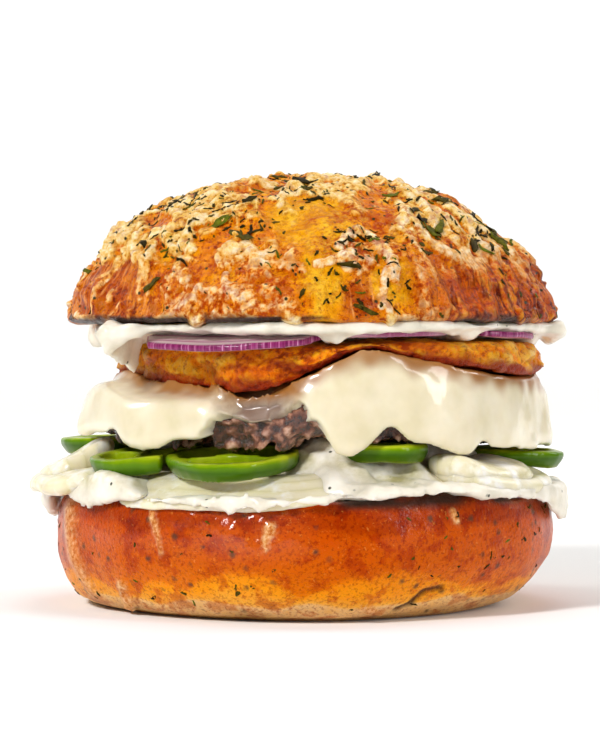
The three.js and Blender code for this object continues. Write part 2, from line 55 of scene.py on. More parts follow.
# Studio
# A seamless pale sweep of painted card under soft boxes: a big one high at the left, a tall one at the right
# and a wide one overhead. The eye is level with the fillet, 0.6 m in front of the middle of the burger.
EYE = Vector((-1.4, -600, 59)) * MM
AIM = Vector((-1.4, 0, 52.1)) * MM
LENS = 125.2
FLOOR_SIDE = 3.2
WALL_HEIGHT = 2.0
SWEEP_RADIUS = 0.7


def shade(code):
    """The linear colour of an sRGB hex code."""
    parts = [int(code[i:i + 2], 16) / 255 for i in (0, 2, 4)]
    return tuple(p / 12.92 if p <= 0.04045 else ((p + 0.055) / 1.055) ** 2.4 for p in parts) + (1,)


def blank(name):
    """A new material without nodes. The next nodes are added to it."""
    made = bpy.data.materials.new(name)
    made.use_nodes = True
    made.node_tree.nodes.clear()
    add.tree = made.node_tree
    return made


USUAL = {"Mix": {"data_type": "RGBA"}, "Math": {"operation": "MULTIPLY_ADD"},
         "VectorMath": {"operation": "MULTIPLY_ADD"}}


def add(kind, *terms, **settings):
    """Adds a node to the newest material. Its inputs come in order or by name: a number, a hex colour, a node
    or socket to link, or @ and the name of a number kept on the piece. A setting can also be a property, the
    size of a pattern or the stops of a ramp. Textures lie on Object coordinates by default."""
    made = add.tree.nodes.new("ShaderNode" + kind)
    if kind.startswith("Tex") and kind != "TexCoord" and "Vector" not in settings:
        settings["Vector"] = add("TexCoord")
    for name, value in [*(USUAL.get(kind, {}) | settings).items(), *enumerate(terms)]:
        if name == "size":
            name, value = "Scale", 1 / (value * MM)
        if isinstance(value, str) and value[0] == "@":
            value = add("Attribute", attribute_name=value[1:])
        if isinstance(value, bpy.types.Node):
            outs = value.outputs
            value = outs.get("Fac") or outs.get("Object") or next(s for s in outs if s.enabled)
        if name in range(len(terms)):
            socket = made.inputs[name]
        else:
            socket = next((s for s in made.inputs if s.enabled and s.name == name.replace("_", " ")), None)
        if name == "stops":
            ramp, stops = made.color_ramp, [stop.split() for stop in value.split(", ")]
            while len(ramp.elements) < len(stops):
                ramp.elements.new(1)
            for element, (place, code) in zip(ramp.elements, stops):
                element.position, element.color = float(place), shade(code)
        elif socket is None:
            setattr(made, name, value)
        elif isinstance(value, bpy.types.NodeSocket):
            add.tree.links.new(value, socket)
        else:
            socket.default_value = shade(value) if isinstance(value, str) else value
    if kind == "BsdfPrincipled":
        add("OutputMaterial", made)
    return made


def placed(name, data):
    """A new object in the scene."""
    made = bpy.data.objects.new(name, data)
    bpy.context.scene.collection.objects.link(made)
    return made


def alone(piece):
    """Leaves only one piece selected, because an operator acts on all that is selected."""
    bpy.ops.object.select_all(action="DESELECT")
    piece.select_set(True)
    bpy.context.view_layer.objects.active = piece


def pick_back_edge():
    """Selects the edge of the floor that the wall rises from."""
    bpy.ops.mesh.select_all(action="DESELECT")
    for edge in bmesh.from_edit_mesh(floor.data).edges:
        edge.select_set(all(v.co.y > FLOOR_SIDE * 0.49 and v.co.z < MM for v in edge.verts))
    bmesh.update_edit_mesh(floor.data)


bpy.ops.object.select_all(action="DESELECT")
bpy.ops.mesh.primitive_plane_add(size=FLOOR_SIDE, location=(0, 0, 0))
floor = bpy.context.object
floor.name = "studio_floor"
bpy.ops.object.mode_set(mode="EDIT")
pick_back_edge()
bpy.ops.mesh.extrude_region_move(TRANSFORM_OT_translate={"value": (0, 0, WALL_HEIGHT)})
pick_back_edge()
bpy.ops.mesh.bevel(offset=SWEEP_RADIUS, segments=16)
bpy.ops.object.mode_set(mode="OBJECT")
bpy.ops.object.shade_smooth()
card = blank("painted_card")
# Matt white paint: nearly no gloss, so that the burger leaves only a soft shadow on it.
add("BsdfPrincipled", Base_Color="f4f3f1", Roughness=0.9, Specular_IOR_Level=0.2)
floor.data.materials.append(card)

for name, place, target, wide, tall, power in (
    ("key_softbox", (-0.50, -0.70, 0.56), AIM, 0.16, 0.16, 6.8),
    ("side_softbox", (0.74, -0.46, 0.30), AIM, 0.18, 0.50, 2.5),
    ("top_softbox", (0.06, 0.12, 0.95), AIM, 0.5, 0.5, 3),
    ("wall_light_left", (-1.1, 0.5, 0.9), (-0.4, 1.6, 0.3), 0.8, 0.8, 15),
    ("wall_light_right", (1.1, 0.5, 0.9), (0.4, 1.6, 0.3), 0.8, 0.8, 15),
):
    box_light = bpy.data.lights.new(name, "AREA")
    box_light.shape, box_light.size, box_light.size_y, box_light.energy = "RECTANGLE", wide, tall, power
    lamp = placed(name, box_light)
    lamp.location = place
    lamp.rotation_euler = (Vector(target) - Vector(place)).to_track_quat("-Z", "Y").to_euler()
    lamp.visible_camera = False

world = bpy.data.worlds.new("studio_air")
world.use_nodes = True
world.node_tree.nodes["Background"].inputs["Color"].default_value = shade("ffffff")
world.node_tree.nodes["Background"].inputs["Strength"].default_value = 0.18
bpy.context.scene.world = world
bpy.context.scene.view_settings.view_transform = "Standard"

lens = bpy.data.cameras.new("camera")
lens.lens, lens.sensor_width = LENS, 36
camera = placed("camera", lens)
camera.location = EYE
camera.rotation_euler = (AIM - EYE).to_track_quat("-Z", "Y").to_euler()
bpy.context.scene.camera = camera

# Bun heel
# The lower half of a brioche bun, egg-glazed and baked on a tray: deep orange-brown and glossy above, pale
# and floury at the foot where the glaze ran thin. Herbs are baked in, and grated cheese ran down in streaks.
HEEL_VOXEL = 0.85 * MM
PIMPLE = 1.1
HEEL_STREAKS = (  # top and bottom of each streak of cheese as (x, z), its width and its height
    ((-33.5, 26.5), (-31.5, 15), 1.3, 0.55), ((-5.6, 25.5), (-9.4, 17), 1.7, 0.6),
    ((-41, 26.3), (-41.4, 22.5), 1, 0.5), ((-39.5, 7.4), (-38.6, 2.2), 1.9, 0.9),
    ((12, 3.4), (15.2, 2.6), 1.5, 0.9), ((31, 24), (32, 21.5), 0.9, 0.4),
)
HEEL_HERBS = 150
HEEL_HERB_LENGTH = (0.9 * MM, 2.6 * MM)
HEEL_CRACK = ((18.9, 2.6), (22, 3.6), (25.5, 6.4), (29, 6.9))
HEEL_SHORE = (  # turn in degrees, half width and top of each bay of the pale foot
    (-36, 11, 8.5), (-15, 14, 11.6), (19, 22, 11.2), (47, 12, 8), (70, 25, 9), (-70, 25, 9),
)


def copied(node, name, voxel, smoothing=0):
    """A new piece from a copy of a CAD node's mesh, made even and fine enough for its relief."""
    piece = placed(name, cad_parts[node].data.copy())
    piece.data.materials.clear()
    alone(piece)
    bpy.ops.object.mode_set(mode="EDIT")
    bpy.ops.mesh.select_all(action="SELECT")
    bpy.ops.mesh.remove_doubles(threshold=0.002 * MM)
    bpy.ops.object.mode_set(mode="OBJECT")
    remesh(piece, voxel, smoothing)
    return piece


def modify(piece, kind, **settings):
    """Adds a modifier to a piece and applies it."""
    alone(piece)
    bpy.ops.object.modifier_add(type=kind)
    modifier = piece.modifiers[-1]
    for name, value in settings.items():
        setattr(modifier, name, value)
    bpy.ops.object.modifier_apply(modifier=modifier.name)


def soften(piece, times, **settings):
    """Rounds off what is sharp on a piece."""
    modify(piece, "SMOOTH", factor=0.5, iterations=times, **settings)


def remesh(piece, voxel, smoothing=0):
    """Gives a piece an even mesh, and rounds it so many times."""
    modify(piece, "REMESH", mode="VOXEL", voxel_size=voxel)
    bpy.ops.object.shade_smooth()
    if smoothing:
        soften(piece, smoothing)


def places_of(piece):
    """The places of a piece's points, a row each."""
    flat = np.empty(3 * len(piece.data.vertices), np.float32)
    piece.data.vertices.foreach_get("co", flat)
    return flat.reshape(-1, 3).astype(float)


def facing_of(piece):
    """The outward normals at a piece's points, a row each."""
    flat = np.empty(3 * len(piece.data.vertices), np.float32)
    piece.data.vertex_normals.foreach_get("vector", flat)
    return flat.reshape(-1, 3).astype(float)


def put(piece, places):
    """Moves a piece's points to new places."""
    piece.data.vertices.foreach_set("co", np.ascontiguousarray(places, np.float32).ravel())
    piece.data.update()


def mark(piece, **numbers):
    """Keeps numbers for the points of a piece, for its material to read."""
    for name, values in numbers.items():
        kept = piece.data.attributes.new(name, "FLOAT", "POINT")
        kept.data.foreach_set("value", np.ascontiguousarray(values, np.float32))


def step(low, high, values):
    """0 below low, 1 above high and a smooth rise between them."""
    part = np.clip((values - low) / (high - low), 0, 1)
    return part * part * (3 - 2 * part)


def mixed(corner, seed):
    """A repeatable random whole number for each cell of a grid."""
    x, y, z = corner.T
    number = (x * 73856093) ^ (y * 19349663) ^ (z * 83492791) ^ (seed * 2654435761)
    number = (number ^ (number >> 13)) * 1274126177
    return number ^ (number >> 16)


def lumps(places, size, seed):
    """Smooth random heights from -1 to 1, with lumps of the given size."""
    cell = places / (size * MM) + 0.37 * seed
    corner = np.floor(cell).astype(np.int64)
    part = cell - corner
    part = part * part * (3 - 2 * part)
    heights = np.zeros(len(places))
    for offset in np.ndindex(2, 2, 2):
        value = (mixed(corner + offset, seed) & 0xFFFF) / 32767.5 - 1
        heights += value * np.where(offset, part, 1 - part).prod(axis=1)
    return heights


def sway(places, size, seed):
    """A smooth random shift of each place, up to 1 along each axis."""
    return np.stack([lumps(places, size, seed + i) for i in range(3)], axis=1)


def grains(places, size, seed):
    """Rounded grains of the given size, 1 on top of each and 0 in the seams, and a random tone for each."""
    cell = places / (size * MM)
    corner = np.floor(cell).astype(np.int64)
    nearest, second, tone = np.full(len(cell), 9.0), np.full(len(cell), 9.0), np.zeros(len(cell))
    for offset in np.ndindex(3, 3, 3):
        at = corner + offset - 1
        number = mixed(at, seed)
        seedling = np.stack([number & 0xFF, (number >> 8) & 0xFF, (number >> 16) & 0xFF], axis=1) / 255
        away = np.linalg.norm(cell - at - seedling, axis=1)
        closer = away < nearest
        second = np.where(closer, nearest, np.minimum(second, away))
        tone = np.where(closer, ((number >> 24) & 0xFF) / 255, tone)
        nearest = np.where(closer, away, nearest)
    return step(0, 0.9, second - nearest), tone


def along(places, route):
    """The distance from each place to a route of points."""
    nearest = np.full(len(places), np.inf)
    for start, end in zip(route[:-1], route[1:]):
        start, run = np.array(start, float), np.array(end, float) - np.array(start, float)
        part = np.clip((places - start) @ run / max(run @ run, 1e-12), 0, 1)
        nearest = np.minimum(nearest, np.linalg.norm(places - start - part[:, None] * run, axis=1))
    return nearest


def from_ovals(places, ovals):
    """How far each flat place is from the middle of its nearest oval, where 1 is at the edge of the oval."""
    return np.min([np.linalg.norm((places - oval[:2]) / oval[2:], axis=1) for oval in ovals], axis=0)


def skin_of(piece):
    """The surface of a piece, to find its nearest point or what a ray meets."""
    mesh = piece.data
    return BVHTree.FromPolygons([v.co for v in mesh.vertices], [tuple(f.vertices) for f in mesh.polygons])


def room(spots, outward, way, others, most):
    """How far each point that faces up (1) or down (-1) can go before it meets other nodes, up to a limit."""
    gap = np.full(len(spots), np.inf)
    for skin in [skin_of(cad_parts[node]) for node in others]:
        for index in np.flatnonzero(outward[:, 2] * way > 0.2):
            met = skin.ray_cast(Vector(spots[index]), Vector((0, 0, way)), most)
            gap[index] = min(gap[index], met[3] or np.inf)
    return np.where(np.isfinite(gap), gap, 0) * way


def strewn(name, crust, count, lengths, seed, low, high, sink, spread=None):
    """Herb flakes pressed on a crust: one flake is modelled, then bent to the crust wherever it is laid."""
    bpy.ops.object.select_all(action="DESELECT")
    bpy.ops.mesh.primitive_grid_add(x_subdivisions=4, y_subdivisions=3, size=2)
    flake = bpy.context.object
    modify(flake, "SOLIDIFY", thickness=0.16, offset=0)
    form = places_of(flake)
    faces = [tuple(f.vertices) for f in flake.data.polygons]
    bpy.data.objects.remove(flake)
    form[:, 1] *= 1 - 0.45 * np.abs(form[:, 0]) ** 2.5
    over_and_under = len(form) // 2

    places, facing, skin = places_of(crust), facing_of(crust), skin_of(crust)
    luck = np.random.default_rng(seed)
    weight = ((places[:, 2] > low) & (places[:, 2] < high) & (np.linalg.norm(places[:, :2], axis=1) > 2 * MM))
    weight = weight * (spread if spread is not None else 1) * (facing[:, 2] > -0.75)
    chosen = luck.choice(len(places), count, replace=False, p=weight / weight.sum())
    points, sides, tints = [], [], []
    for index in chosen:
        length = lengths[0] + (lengths[1] - lengths[0]) * luck.random() ** 2.6
        width = length * luck.uniform(0.24, 0.42) * (1.7 if length < 1.8 * MM else 1)
        up = Vector(facing[index])
        ahead = up.orthogonal().normalized()
        turn = luck.uniform(0, 2 * math.pi)
        ahead = (ahead * math.cos(turn) + up.cross(ahead) * math.sin(turn)).normalized()
        across = up.cross(ahead)
        curl, wave, phase = luck.uniform(-0.1, 0.2), luck.uniform(0, 0.12), luck.uniform(0, 6)
        notch = np.tile(luck.uniform(0.3, 1.15, (over_and_under, 2)), (2, 1))
        crumple = np.tile(luck.uniform(0, 0.2, over_and_under), 2)
        bow, first, tint = luck.normal(0, 0.09), len(points), luck.random()
        depth = (sink + luck.uniform(0, 0.14)) * MM
        for (u, v, w), (cut_u, cut_v), bump in zip(form, notch, crumple):
            spot = (Vector(places[index]) + ahead * (u * length / 2 * (0.6 + 0.4 * cut_u))
                    + across * (v * width / 2 * cut_v + bow * length * u * u))
            ground, normal = skin.find_nearest(spot)[:2]
            raised = curl * u * u * length * 0.35 + (wave * math.sin(3 * u + phase) * 0.3 + bump) * width
            points.append(ground + normal * (max(raised, 0) + w * MM + 0.1 * MM - depth))
            tints.append(tint)
        sides += [tuple(first + i for i in f) for f in faces]
    mesh = bpy.data.meshes.new(name)
    mesh.from_pydata(points, [], sides)
    flakes = placed(name, mesh)
    mark(flakes, tint=tints)
    alone(flakes)
    bpy.ops.object.shade_smooth()
    return flakes


def specks(outside, inside, fewest, all_of, **settings):
    """Adds specks: a dot in the middle of each cell whose random number is high enough."""
    cell = add("TexVoronoi", **settings)
    dot = add("MapRange", cell, outside, inside)
    number = add("SeparateColor", cell.outputs["Color"])
    pick = add("MapRange", number, fewest, all_of)
    return add("Math", dot, pick, operation="MULTIPLY")


heel = copied("bun_heel", "heel_crust", HEEL_VOXEL, 14)
spots = places_of(heel)
level = spots[:, 2] / MM
front = step(10, -10, spots[:, 1] / MM)
turn = np.degrees(np.arctan2(spots[:, 0], -spots[:, 1]))
side_view = spots[:, [0, 2]] / MM
streak = streak_height = np.zeros(len(spots))
for start, end, wide, tall in HEEL_STREAKS:
    wobble = 0.35 * lumps(spots, 1.6, 5) * wide
    near = step(wide, 0.35 * wide, along(side_view, (start, end)) + wobble) * front
    near *= step(-0.5, 0.1, lumps(spots * (1, 1, 0.6), 2.2, 7))
    streak = np.maximum(streak, near)
    streak_height = np.maximum(streak_height, near * tall)
fold = np.exp(-((turn + 66 + 0.25 * (level - 13)) / 3.4) ** 2) * step(1, 6, level) * step(28, 22, level)
crack = step(0.9, 0.2, along(side_view, HEEL_CRACK) + 0.3 * lumps(spots, 1.5, 8)) * front
lip = np.exp(-((level - 2.1 - 0.5 * lumps(spots, 9, 3)) / 0.5) ** 2)
pimples = grains(spots, PIMPLE, 4)[0] ** 2
shoulder = step(12, 24, level)
uneven = np.exp(-((side_view[:, 0] + 16) / 13) ** 2 - ((level - 20.5) / 5.5) ** 2) * front
relief = (0.55 * lumps(spots, 17, 1) + 0.3 * lumps(spots, 6, 2) * (0.4 + shoulder)
          + 0.14 * (pimples - 0.4) * (0.5 + shoulder) + streak_height * (0.8 + 0.3 * pimples)
          + uneven * (0.6 * grains(spots, 2, 13)[0] + 0.9 * lumps(spots * (0.5, 0.5, 1), 3, 18))
          + 0.9 * fold - 0.5 * crack - 0.45 * lip * step(-0.2, 0.5, lumps(spots, 12, 6)))
outward = facing_of(heel)
lifted = spots + outward * (relief * MM)[:, None]
lifted[:, 2] = np.where(level < 1.2, spots[:, 2], np.maximum(lifted[:, 2], 0.2 * MM))
put(heel, lifted)
rim_bite = step(-0.1, 0.5, lumps(spots, 8, 12) + front * np.exp(-((turn - 24) / 13) ** 2))
rim_bite *= step(2.6, 0.4, np.abs(level - 26.4))
# Dark marks: real char in patches round the top rim, and painted shade along the crack.
mark(heel, streak=np.clip(streak + 0.75 * fold, 0, 1), burnt=np.clip(rim_bite + crack * 0.9, 0, 1))
shore = np.full(len(spots), 5.0)
for middle, half, top in HEEL_SHORE:
    shore = np.maximum(shore, top - 6.0 * ((turn - middle) / half) ** 2)
tide = level - shore - 0.8 * lumps(spots, 5, 15) - 0.4 * lumps(spots, 2, 19)
mark(heel, pale=step(0.7, -0.7, tide) + 0.9 * step(4.6, 2.6, level + 2.2 * lumps(spots, 8, 16)))
mark(heel, glaze=np.clip(uneven + 0.7 * step(0.1, 0.6, lumps(spots, 10, 17)) * shoulder, 0, 1))

crust = blank("egg_glazed_brioche_crust")
# Baked dough under egg glaze: browned in patches, glossy where the glaze is thick, duller on the floury foot.
coords = add("TexCoord")
ragged = add("TexNoise", size=1.2, Detail=2)
torn = add("VectorMath", ragged.outputs["Color"], (1.1 * MM,) * 3, coords)
height = add("SeparateXYZ", coords).outputs["Z"]
wander = add("TexNoise", size=22, Detail=3, Roughness=0.5)
rise = add("MapRange", height, 0, 27 * MM, To_Min=0.34)
rise = add("Math", wander, 0.26, rise)
rise = add("Math", "@pale", -0.16, rise)
baked = add("ValToRGB", rise, stops=(
    "0.12 9c7830, 0.2 dcb880, 0.3 eecc94, 0.37 f6bc48, 0.47 f4a414, 0.6 e48200, 0.78 cc6000, "
    "0.96 c45200, 1 a83c00"))
mottle = add("TexNoise", size=5, Detail=6, Roughness=0.62)
patchy = add("ValToRGB", mottle, stops="0.3 b06438, 0.42 dca47c, 0.5 ffffff, 0.72 ffe8b0")
browned = add("Mix", blend_type="MULTIPLY", Factor=0.75, A=baked, B=patchy)
grainy = add("TexNoise", size=0.8, Detail=3, Roughness=0.7)
grainy = add("ValToRGB", grainy, stops="0.36 c08058, 0.5 fff4e8, 0.62 ffe8b8")
browned = add("Mix", blend_type="MULTIPLY", Factor=0.75, A=browned, B=grainy)
freckle = add("TexNoise", size=1, Detail=3, Roughness=0.65)
freckle_seen = add("MapRange", freckle, 0.61, 0.75, To_Max=0.6)
freckled = add("Mix", Factor=freckle_seen, A=browned, B="e8923c")
speck_seen = specks(0.34, 0.1, 0.7, 0.78, Vector=torn, size=3)
speck_seen = add("Math", speck_seen, 0.8, operation="MULTIPLY")
specked = add("Mix", Factor=speck_seen, A=freckled, B="443426")
streak_tone = add("ValToRGB", freckle, stops="0.35 b45a14, 0.5 dc9a58, 0.68 f0c898")
streaked = add("Mix", Factor="@streak", A=specked, B=streak_tone)
# Near-black: char on the rim, and painted shade in the crack.
coloured = add("Mix", Factor="@burnt", A=streaked, B="2c1a14")
dull = add("MapRange", rise, 0.2, 0.6, To_Min=0.55, To_Max=0.3)
pores = add("TexNoise", size=0.7, Detail=4, Roughness=0.6)
pored = add("Bump", Height=pores, Strength=0.7, Distance=0.35 * MM)
glassy = add("Bump", Height=pores, Strength=0.3, Distance=0.2 * MM)
thick = add("MapRange", "@glaze", To_Min=0.06, To_Max=0.9)
add("BsdfPrincipled", Base_Color=coloured, Roughness=dull, Normal=pored, IOR=1.45,
    Specular_IOR_Level=0.2, Specular_Tint="ff8a28", Coat_Weight=thick, Coat_Roughness=0.14,
    Coat_Normal=glassy)
heel.data.materials.append(crust)
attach(heel, "root")
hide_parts("bun_heel")

herb = blank("dried_green_herb")
# Chopped herb, darkened in the oven: near black with olive and a few green flakes, slightly waxy.
leaf_tone = add("ValToRGB", "@tint", stops="0 241c08, 0.35 342a0c, 0.6 463b10, 0.82 5c5216, 1 6c7416")
vein = add("TexNoise", size=0.8, Detail=3)
veined = add("ValToRGB", vein, stops="0.35 8c8c7c, 0.65 ffffff")
leafy = add("Mix", blend_type="MULTIPLY", Factor=0.8, A=leaf_tone, B=veined)
leaf_bump = add("Bump", Height=vein, Strength=0.5, Distance=0.2 * MM)
add("BsdfPrincipled", Base_Color=leafy, Roughness=0.5, Normal=leaf_bump, IOR=1.45,
    Specular_IOR_Level=0.15, Specular_Tint="d0a050")

heel_herbs = strewn("heel_herbs", heel, HEEL_HERBS, HEEL_HERB_LENGTH, 21, 2 * MM, 25 * MM, 0.13)
heel_herbs.data.materials.append(herb)
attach(heel_herbs, "root")

# Lower sauce
# Thick white sauce with chopped herbs, spread on the heel with a spoon. The layers press it out over the rim
# in soft folds and lobes.
SAUCE_VOXEL = 0.84 * MM
SAUCE_FOLD = 5.5
SAUCE_TOP = 38.4
SAUCE_HEAPS = (  # middle and half width in degrees of turn, height, reach of the outer and inner slope
    (17, 16, 3.4, (55, 46), (30, 40)), (9, 6, 3.4, (57, 50), (36, 42)),
    (32, 5, 2.6, (55, 48), (38, 43)), (-50, 9, 4.4, (61, 55), (40, 46)),
)
PEPPER_RING_SHADE = (  # (x, y) of the middle and half widths of each patch of painted shade by a pepper ring
    (-15.9, -40.2, 14.5, 14.5), (15.8, -37.8, 11, 11), (-35, -26, 13, 13),
)


def creamy(piece, amount, seed):
    """Lifts the surface of thick sauce into soft folds and spoon marks."""
    spots = places_of(piece)
    drift = sway(spots, 9, seed) * 3 * MM
    folds = 1 - np.abs(lumps(spots + drift, SAUCE_FOLD, seed + 4)) * 2
    small = lumps(spots + drift, 2.4, seed + 5)
    height = amount * (0.6 * folds + 0.4 * small + 0.5 * lumps(spots, 12, seed + 6))
    put(piece, spots + facing_of(piece) * (height * MM)[:, None])
    soften(piece, 2)


lower_sauce = copied("lower_sauce", "lower_cream_sauce", SAUCE_VOXEL, 6)
spots = places_of(lower_sauce)
reach = np.linalg.norm(spots[:, :2], axis=1) / MM
turn = np.degrees(np.arctan2(spots[:, 0], -spots[:, 1]))
on_top = step(0.1, 0.6, facing_of(lower_sauce)[:, 2])
kept_open = np.exp(-((turn + 30) / 24) ** 4)
heap = 28.0 + 10.4 * step(51, 30, reach - 1.5 * lumps(spots * (1, 1, 0), 9, 46)) * (1 - kept_open)
for middle, half, tall, outer, inner in SAUCE_HEAPS:
    heap += tall * np.exp(-((turn - middle) / half) ** 2) * step(*outer, reach) * step(*inner, reach)
spots[:, 2] = np.maximum(spots[:, 2], np.minimum(heap, SAUCE_TOP) * MM * on_top)
under_onion = np.exp(-((turn + 20) / 27) ** 4) * step(42, 46, reach) * step(59, 56, reach) * on_top
spots[:, 2] -= 2.6 * MM * under_onion
put(lower_sauce, spots)
remesh(lower_sauce, SAUCE_VOXEL, 4)
creamy(lower_sauce, 1.25, 40)
spots = places_of(lower_sauce)
# Painted shade: the sauce top round the pepper rings is tinted greenish-grey, as if in their shadow.
tinged = step(1.45, 0.9, from_ovals(spots[:, :2] / MM, PEPPER_RING_SHADE) + 0.2 * lumps(spots, 5, 47))
mark(lower_sauce, tinged=tinged * step(27 * MM, 30 * MM, spots[:, 2]))

cream = blank("herb_cream_sauce")
# Cream and oil scatter light: light shadows, and soft highlights on its wet skin.
cloud = add("TexNoise", size=7, Detail=4, Roughness=0.55)
milky = add("ValToRGB", cloud, stops="0.3 d6cfbd, 0.5 efe7d6, 0.7 f8f2e6")
bit_seen = specks(0.17, 0.11, 0.80, 0.84, size=2.6)
tint_rough = add("MapRange", cloud, 0.62, 0.4, To_Max=0.9)
# Painted greenish shade round the pepper rings, broken up by a cloud pattern.
ring_shade_seen = add("Math", "@tinged", tint_rough, operation="MULTIPLY")
flesh_and_shaded_cream = add("Mix", blend_type="MULTIPLY", Factor=ring_shade_seen, A=milky, B="cfcb98")
specked = add("Mix", Factor=bit_seen, A=flesh_and_shaded_cream, B="4a4a38")
curd = add("TexNoise", size=1.4, Detail=4, Roughness=0.5)
curdled = add("Bump", Height=curd, Strength=0.3, Distance=0.35 * MM)
add("BsdfPrincipled", Base_Color=specked, Roughness=0.3, Normal=curdled, IOR=1.46,
    Subsurface_Weight=0.35, Subsurface_Radius=(1, 0.9, 0.7), Subsurface_Scale=2.5 * MM)
lower_sauce.data.materials.append(cream)
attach(lower_sauce, "root")
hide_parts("lower_sauce")

# White onion
# Slices cut across a raw white onion: watery layers of cells, clear enough to take the green of the pepper,
# with a fine line between the layers. They are pressed into the sauce, and it smears them.
ONION_VOXEL = 0.5 * MM
ONION_LAYER = 3.2 * MM

white_onion = blank("raw_white_onion")
# Wet plant cells: light goes deep and comes back pale yellow-green, and the cut face is shiny.
drawn = add("TexNoise", size=10, Detail=3)
layered = add("Math", drawn, 1.2, "@ring")
line = add("Math", layered, operation="FRACT")
flesh = add("ValToRGB", line, stops="0 d6cca0, 0.08 e4dab2, 0.4 ece2c4, 0.75 e8debe, 1 dcd2aa")
smear = add("TexNoise", size=6, Detail=5, Roughness=0.6)
smear_seen = add("MapRange", smear, 0.5, 0.66)
smeared = add("Mix", Factor=smear_seen, A=flesh, B="f6f1e6")
fibre = add("TexNoise", size=1.2, Detail=2)
fibrous = add("Bump", Height=fibre, Strength=0.25, Distance=0.2 * MM)
add("BsdfPrincipled", Base_Color=smeared, Roughness=0.2, Normal=fibrous, IOR=1.40,
    Subsurface_Weight=0.55, Subsurface_Radius=(1, 0.95, 0.6), Subsurface_Scale=3 * MM)

for seed, side in enumerate(("front", "right_low", "right_high", "left_low", "left_high", "back")):
    slice_node = "white_onion_" + side
    onion = copied(slice_node, slice_node + "_slice", ONION_VOXEL, 12)
    spots, outward = places_of(onion), facing_of(onion)
    reach = np.linalg.norm(spots[:, :2], axis=1) / MM
    mark(onion, ring=reach * MM / ONION_LAYER)
    bend = 0.8 * lumps(spots * (1, 1, 0), 11, 60 + seed)
    bend += 0.35 * lumps(spots * (1, 1, 0), 4, 70 + seed)
    if side == "front":
        bend = 0.5 * bend + 0.4 - 4.6 * step(45, 58, reach)
    else:
        bend += (57 - reach) * 0.08
    swell = 0.25 if side == "front" else 1.2
    if side in ("right_high", "left_high", "back"):
        bend -= 1.6 * step(0.2, -0.8, outward[:, 2]) + 0.5
    spots[:, 2] += bend * MM
    spots += outward * ((swell + 0.3 * lumps(spots, 3.5, 75 + seed)) * MM)[:, None]
    put(onion, spots)
    soften(onion, 36)
    onion.data.materials.append(white_onion)
    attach(onion, "root")
    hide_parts(slice_node)

# Green pepper
# Rings cut across a small green pepper: a waxy dark green skin outside, pale yellow-green flesh on the cut
# faces and on the inner wall, and ribs that once held the seeds.
PEPPER_VOXEL = 0.5 * MM
PEPPER_SIDES = ("front", "front_left", "front_right", "right", "left", "back_right", "back_left")

pepper_finish = blank("fresh_green_pepper")
# Waxy skin over wet flesh: it mirrors the soft boxes in small bright spots.
blotch = add("TexNoise", size=6, Detail=3)
wall_rough = add("Math", blotch, 0.2, "@wall")
# Painted light and shade by height: pale yellow-green at the lower edge as if lit through, darkest midway.
skin_with_painted_light = add("ValToRGB", wall_rough, stops=(
    "0.1 7a8c04, 0.22 4a6c00, 0.5 3a6000, 0.68 5a8200, 0.78 84a006, 0.87 b8c424"))
flesh_and_shaded_cream = add("ValToRGB", blotch, stops="0.3 708a06, 0.5 92a80e, 0.75 b8c434")
pepper_tone = add("Mix", Factor="@skin", A=flesh_and_shaded_cream, B=skin_with_painted_light)
damp = add("TexNoise", size=0.8, Detail=3)
damp_bump = add("Bump", Height=damp, Strength=0.15, Distance=0.15 * MM)
add("BsdfPrincipled", Base_Color=pepper_tone, Roughness=0.3, Normal=damp_bump, IOR=1.42,
    Specular_IOR_Level=0.2, Specular_Tint="a4cc30", Coat_Weight=0.3, Coat_Roughness=0.04,
    Coat_Normal=damp_bump)

for seed, side in enumerate(PEPPER_SIDES):
    ring_node = "pepper_ring_" + side
    pepper = copied(ring_node, ring_node + "_cut", PEPPER_VOXEL, 7)
    spots, outward = places_of(pepper), facing_of(pepper)
    low, high = spots.min(axis=0), spots.max(axis=0)
    arm = spots[:, :2] - ((low + high) / 2)[:2]
    reach = np.linalg.norm(arm, axis=1)
    away = (arm * outward[:, :2]).sum(axis=1) / np.maximum(reach, 1e-6)
    rim = step(reach.max() * 0.55, reach.max() * 0.72, reach)
    lean = np.polyfit(spots[:, 1], spots[:, 2], 1)
    flat = spots[:, 2] - np.polyval(lean, spots[:, 1])
    part = (flat - flat.min()) / (flat.max() - flat.min())
    # wall: the height up the ring, which sets the painted light and shade on the skin.
    mark(pepper, skin=step(0.1, 0.5, away) * rim,
         wall=0.85 * part + (0.2 * (1 - part) if side == "front_left" else 0))
    tuck = 1.0 - 0.1 * step(0.55, 0, part) + 0.03 * np.sin(3 * np.arctan2(arm[:, 1], arm[:, 0]) + seed)
    spots[:, :2] += arm * (tuck - 1)[:, None]
    put(pepper, spots + outward * (0.3 * lumps(spots, 6, 80 + seed) * MM)[:, None])
    soften(pepper, 6)
    pepper.data.materials.append(pepper_finish)
    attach(pepper, "root")
    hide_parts(ring_node)

# Beef patty
# Ground beef pressed into a patty and seared: crumbs of meat, wet with fat, seams painted dark as shade.
# The patty rests on the pepper rings.
PATTY_VOXEL = 0.8 * MM
MEAT_CRUMB = 3.6

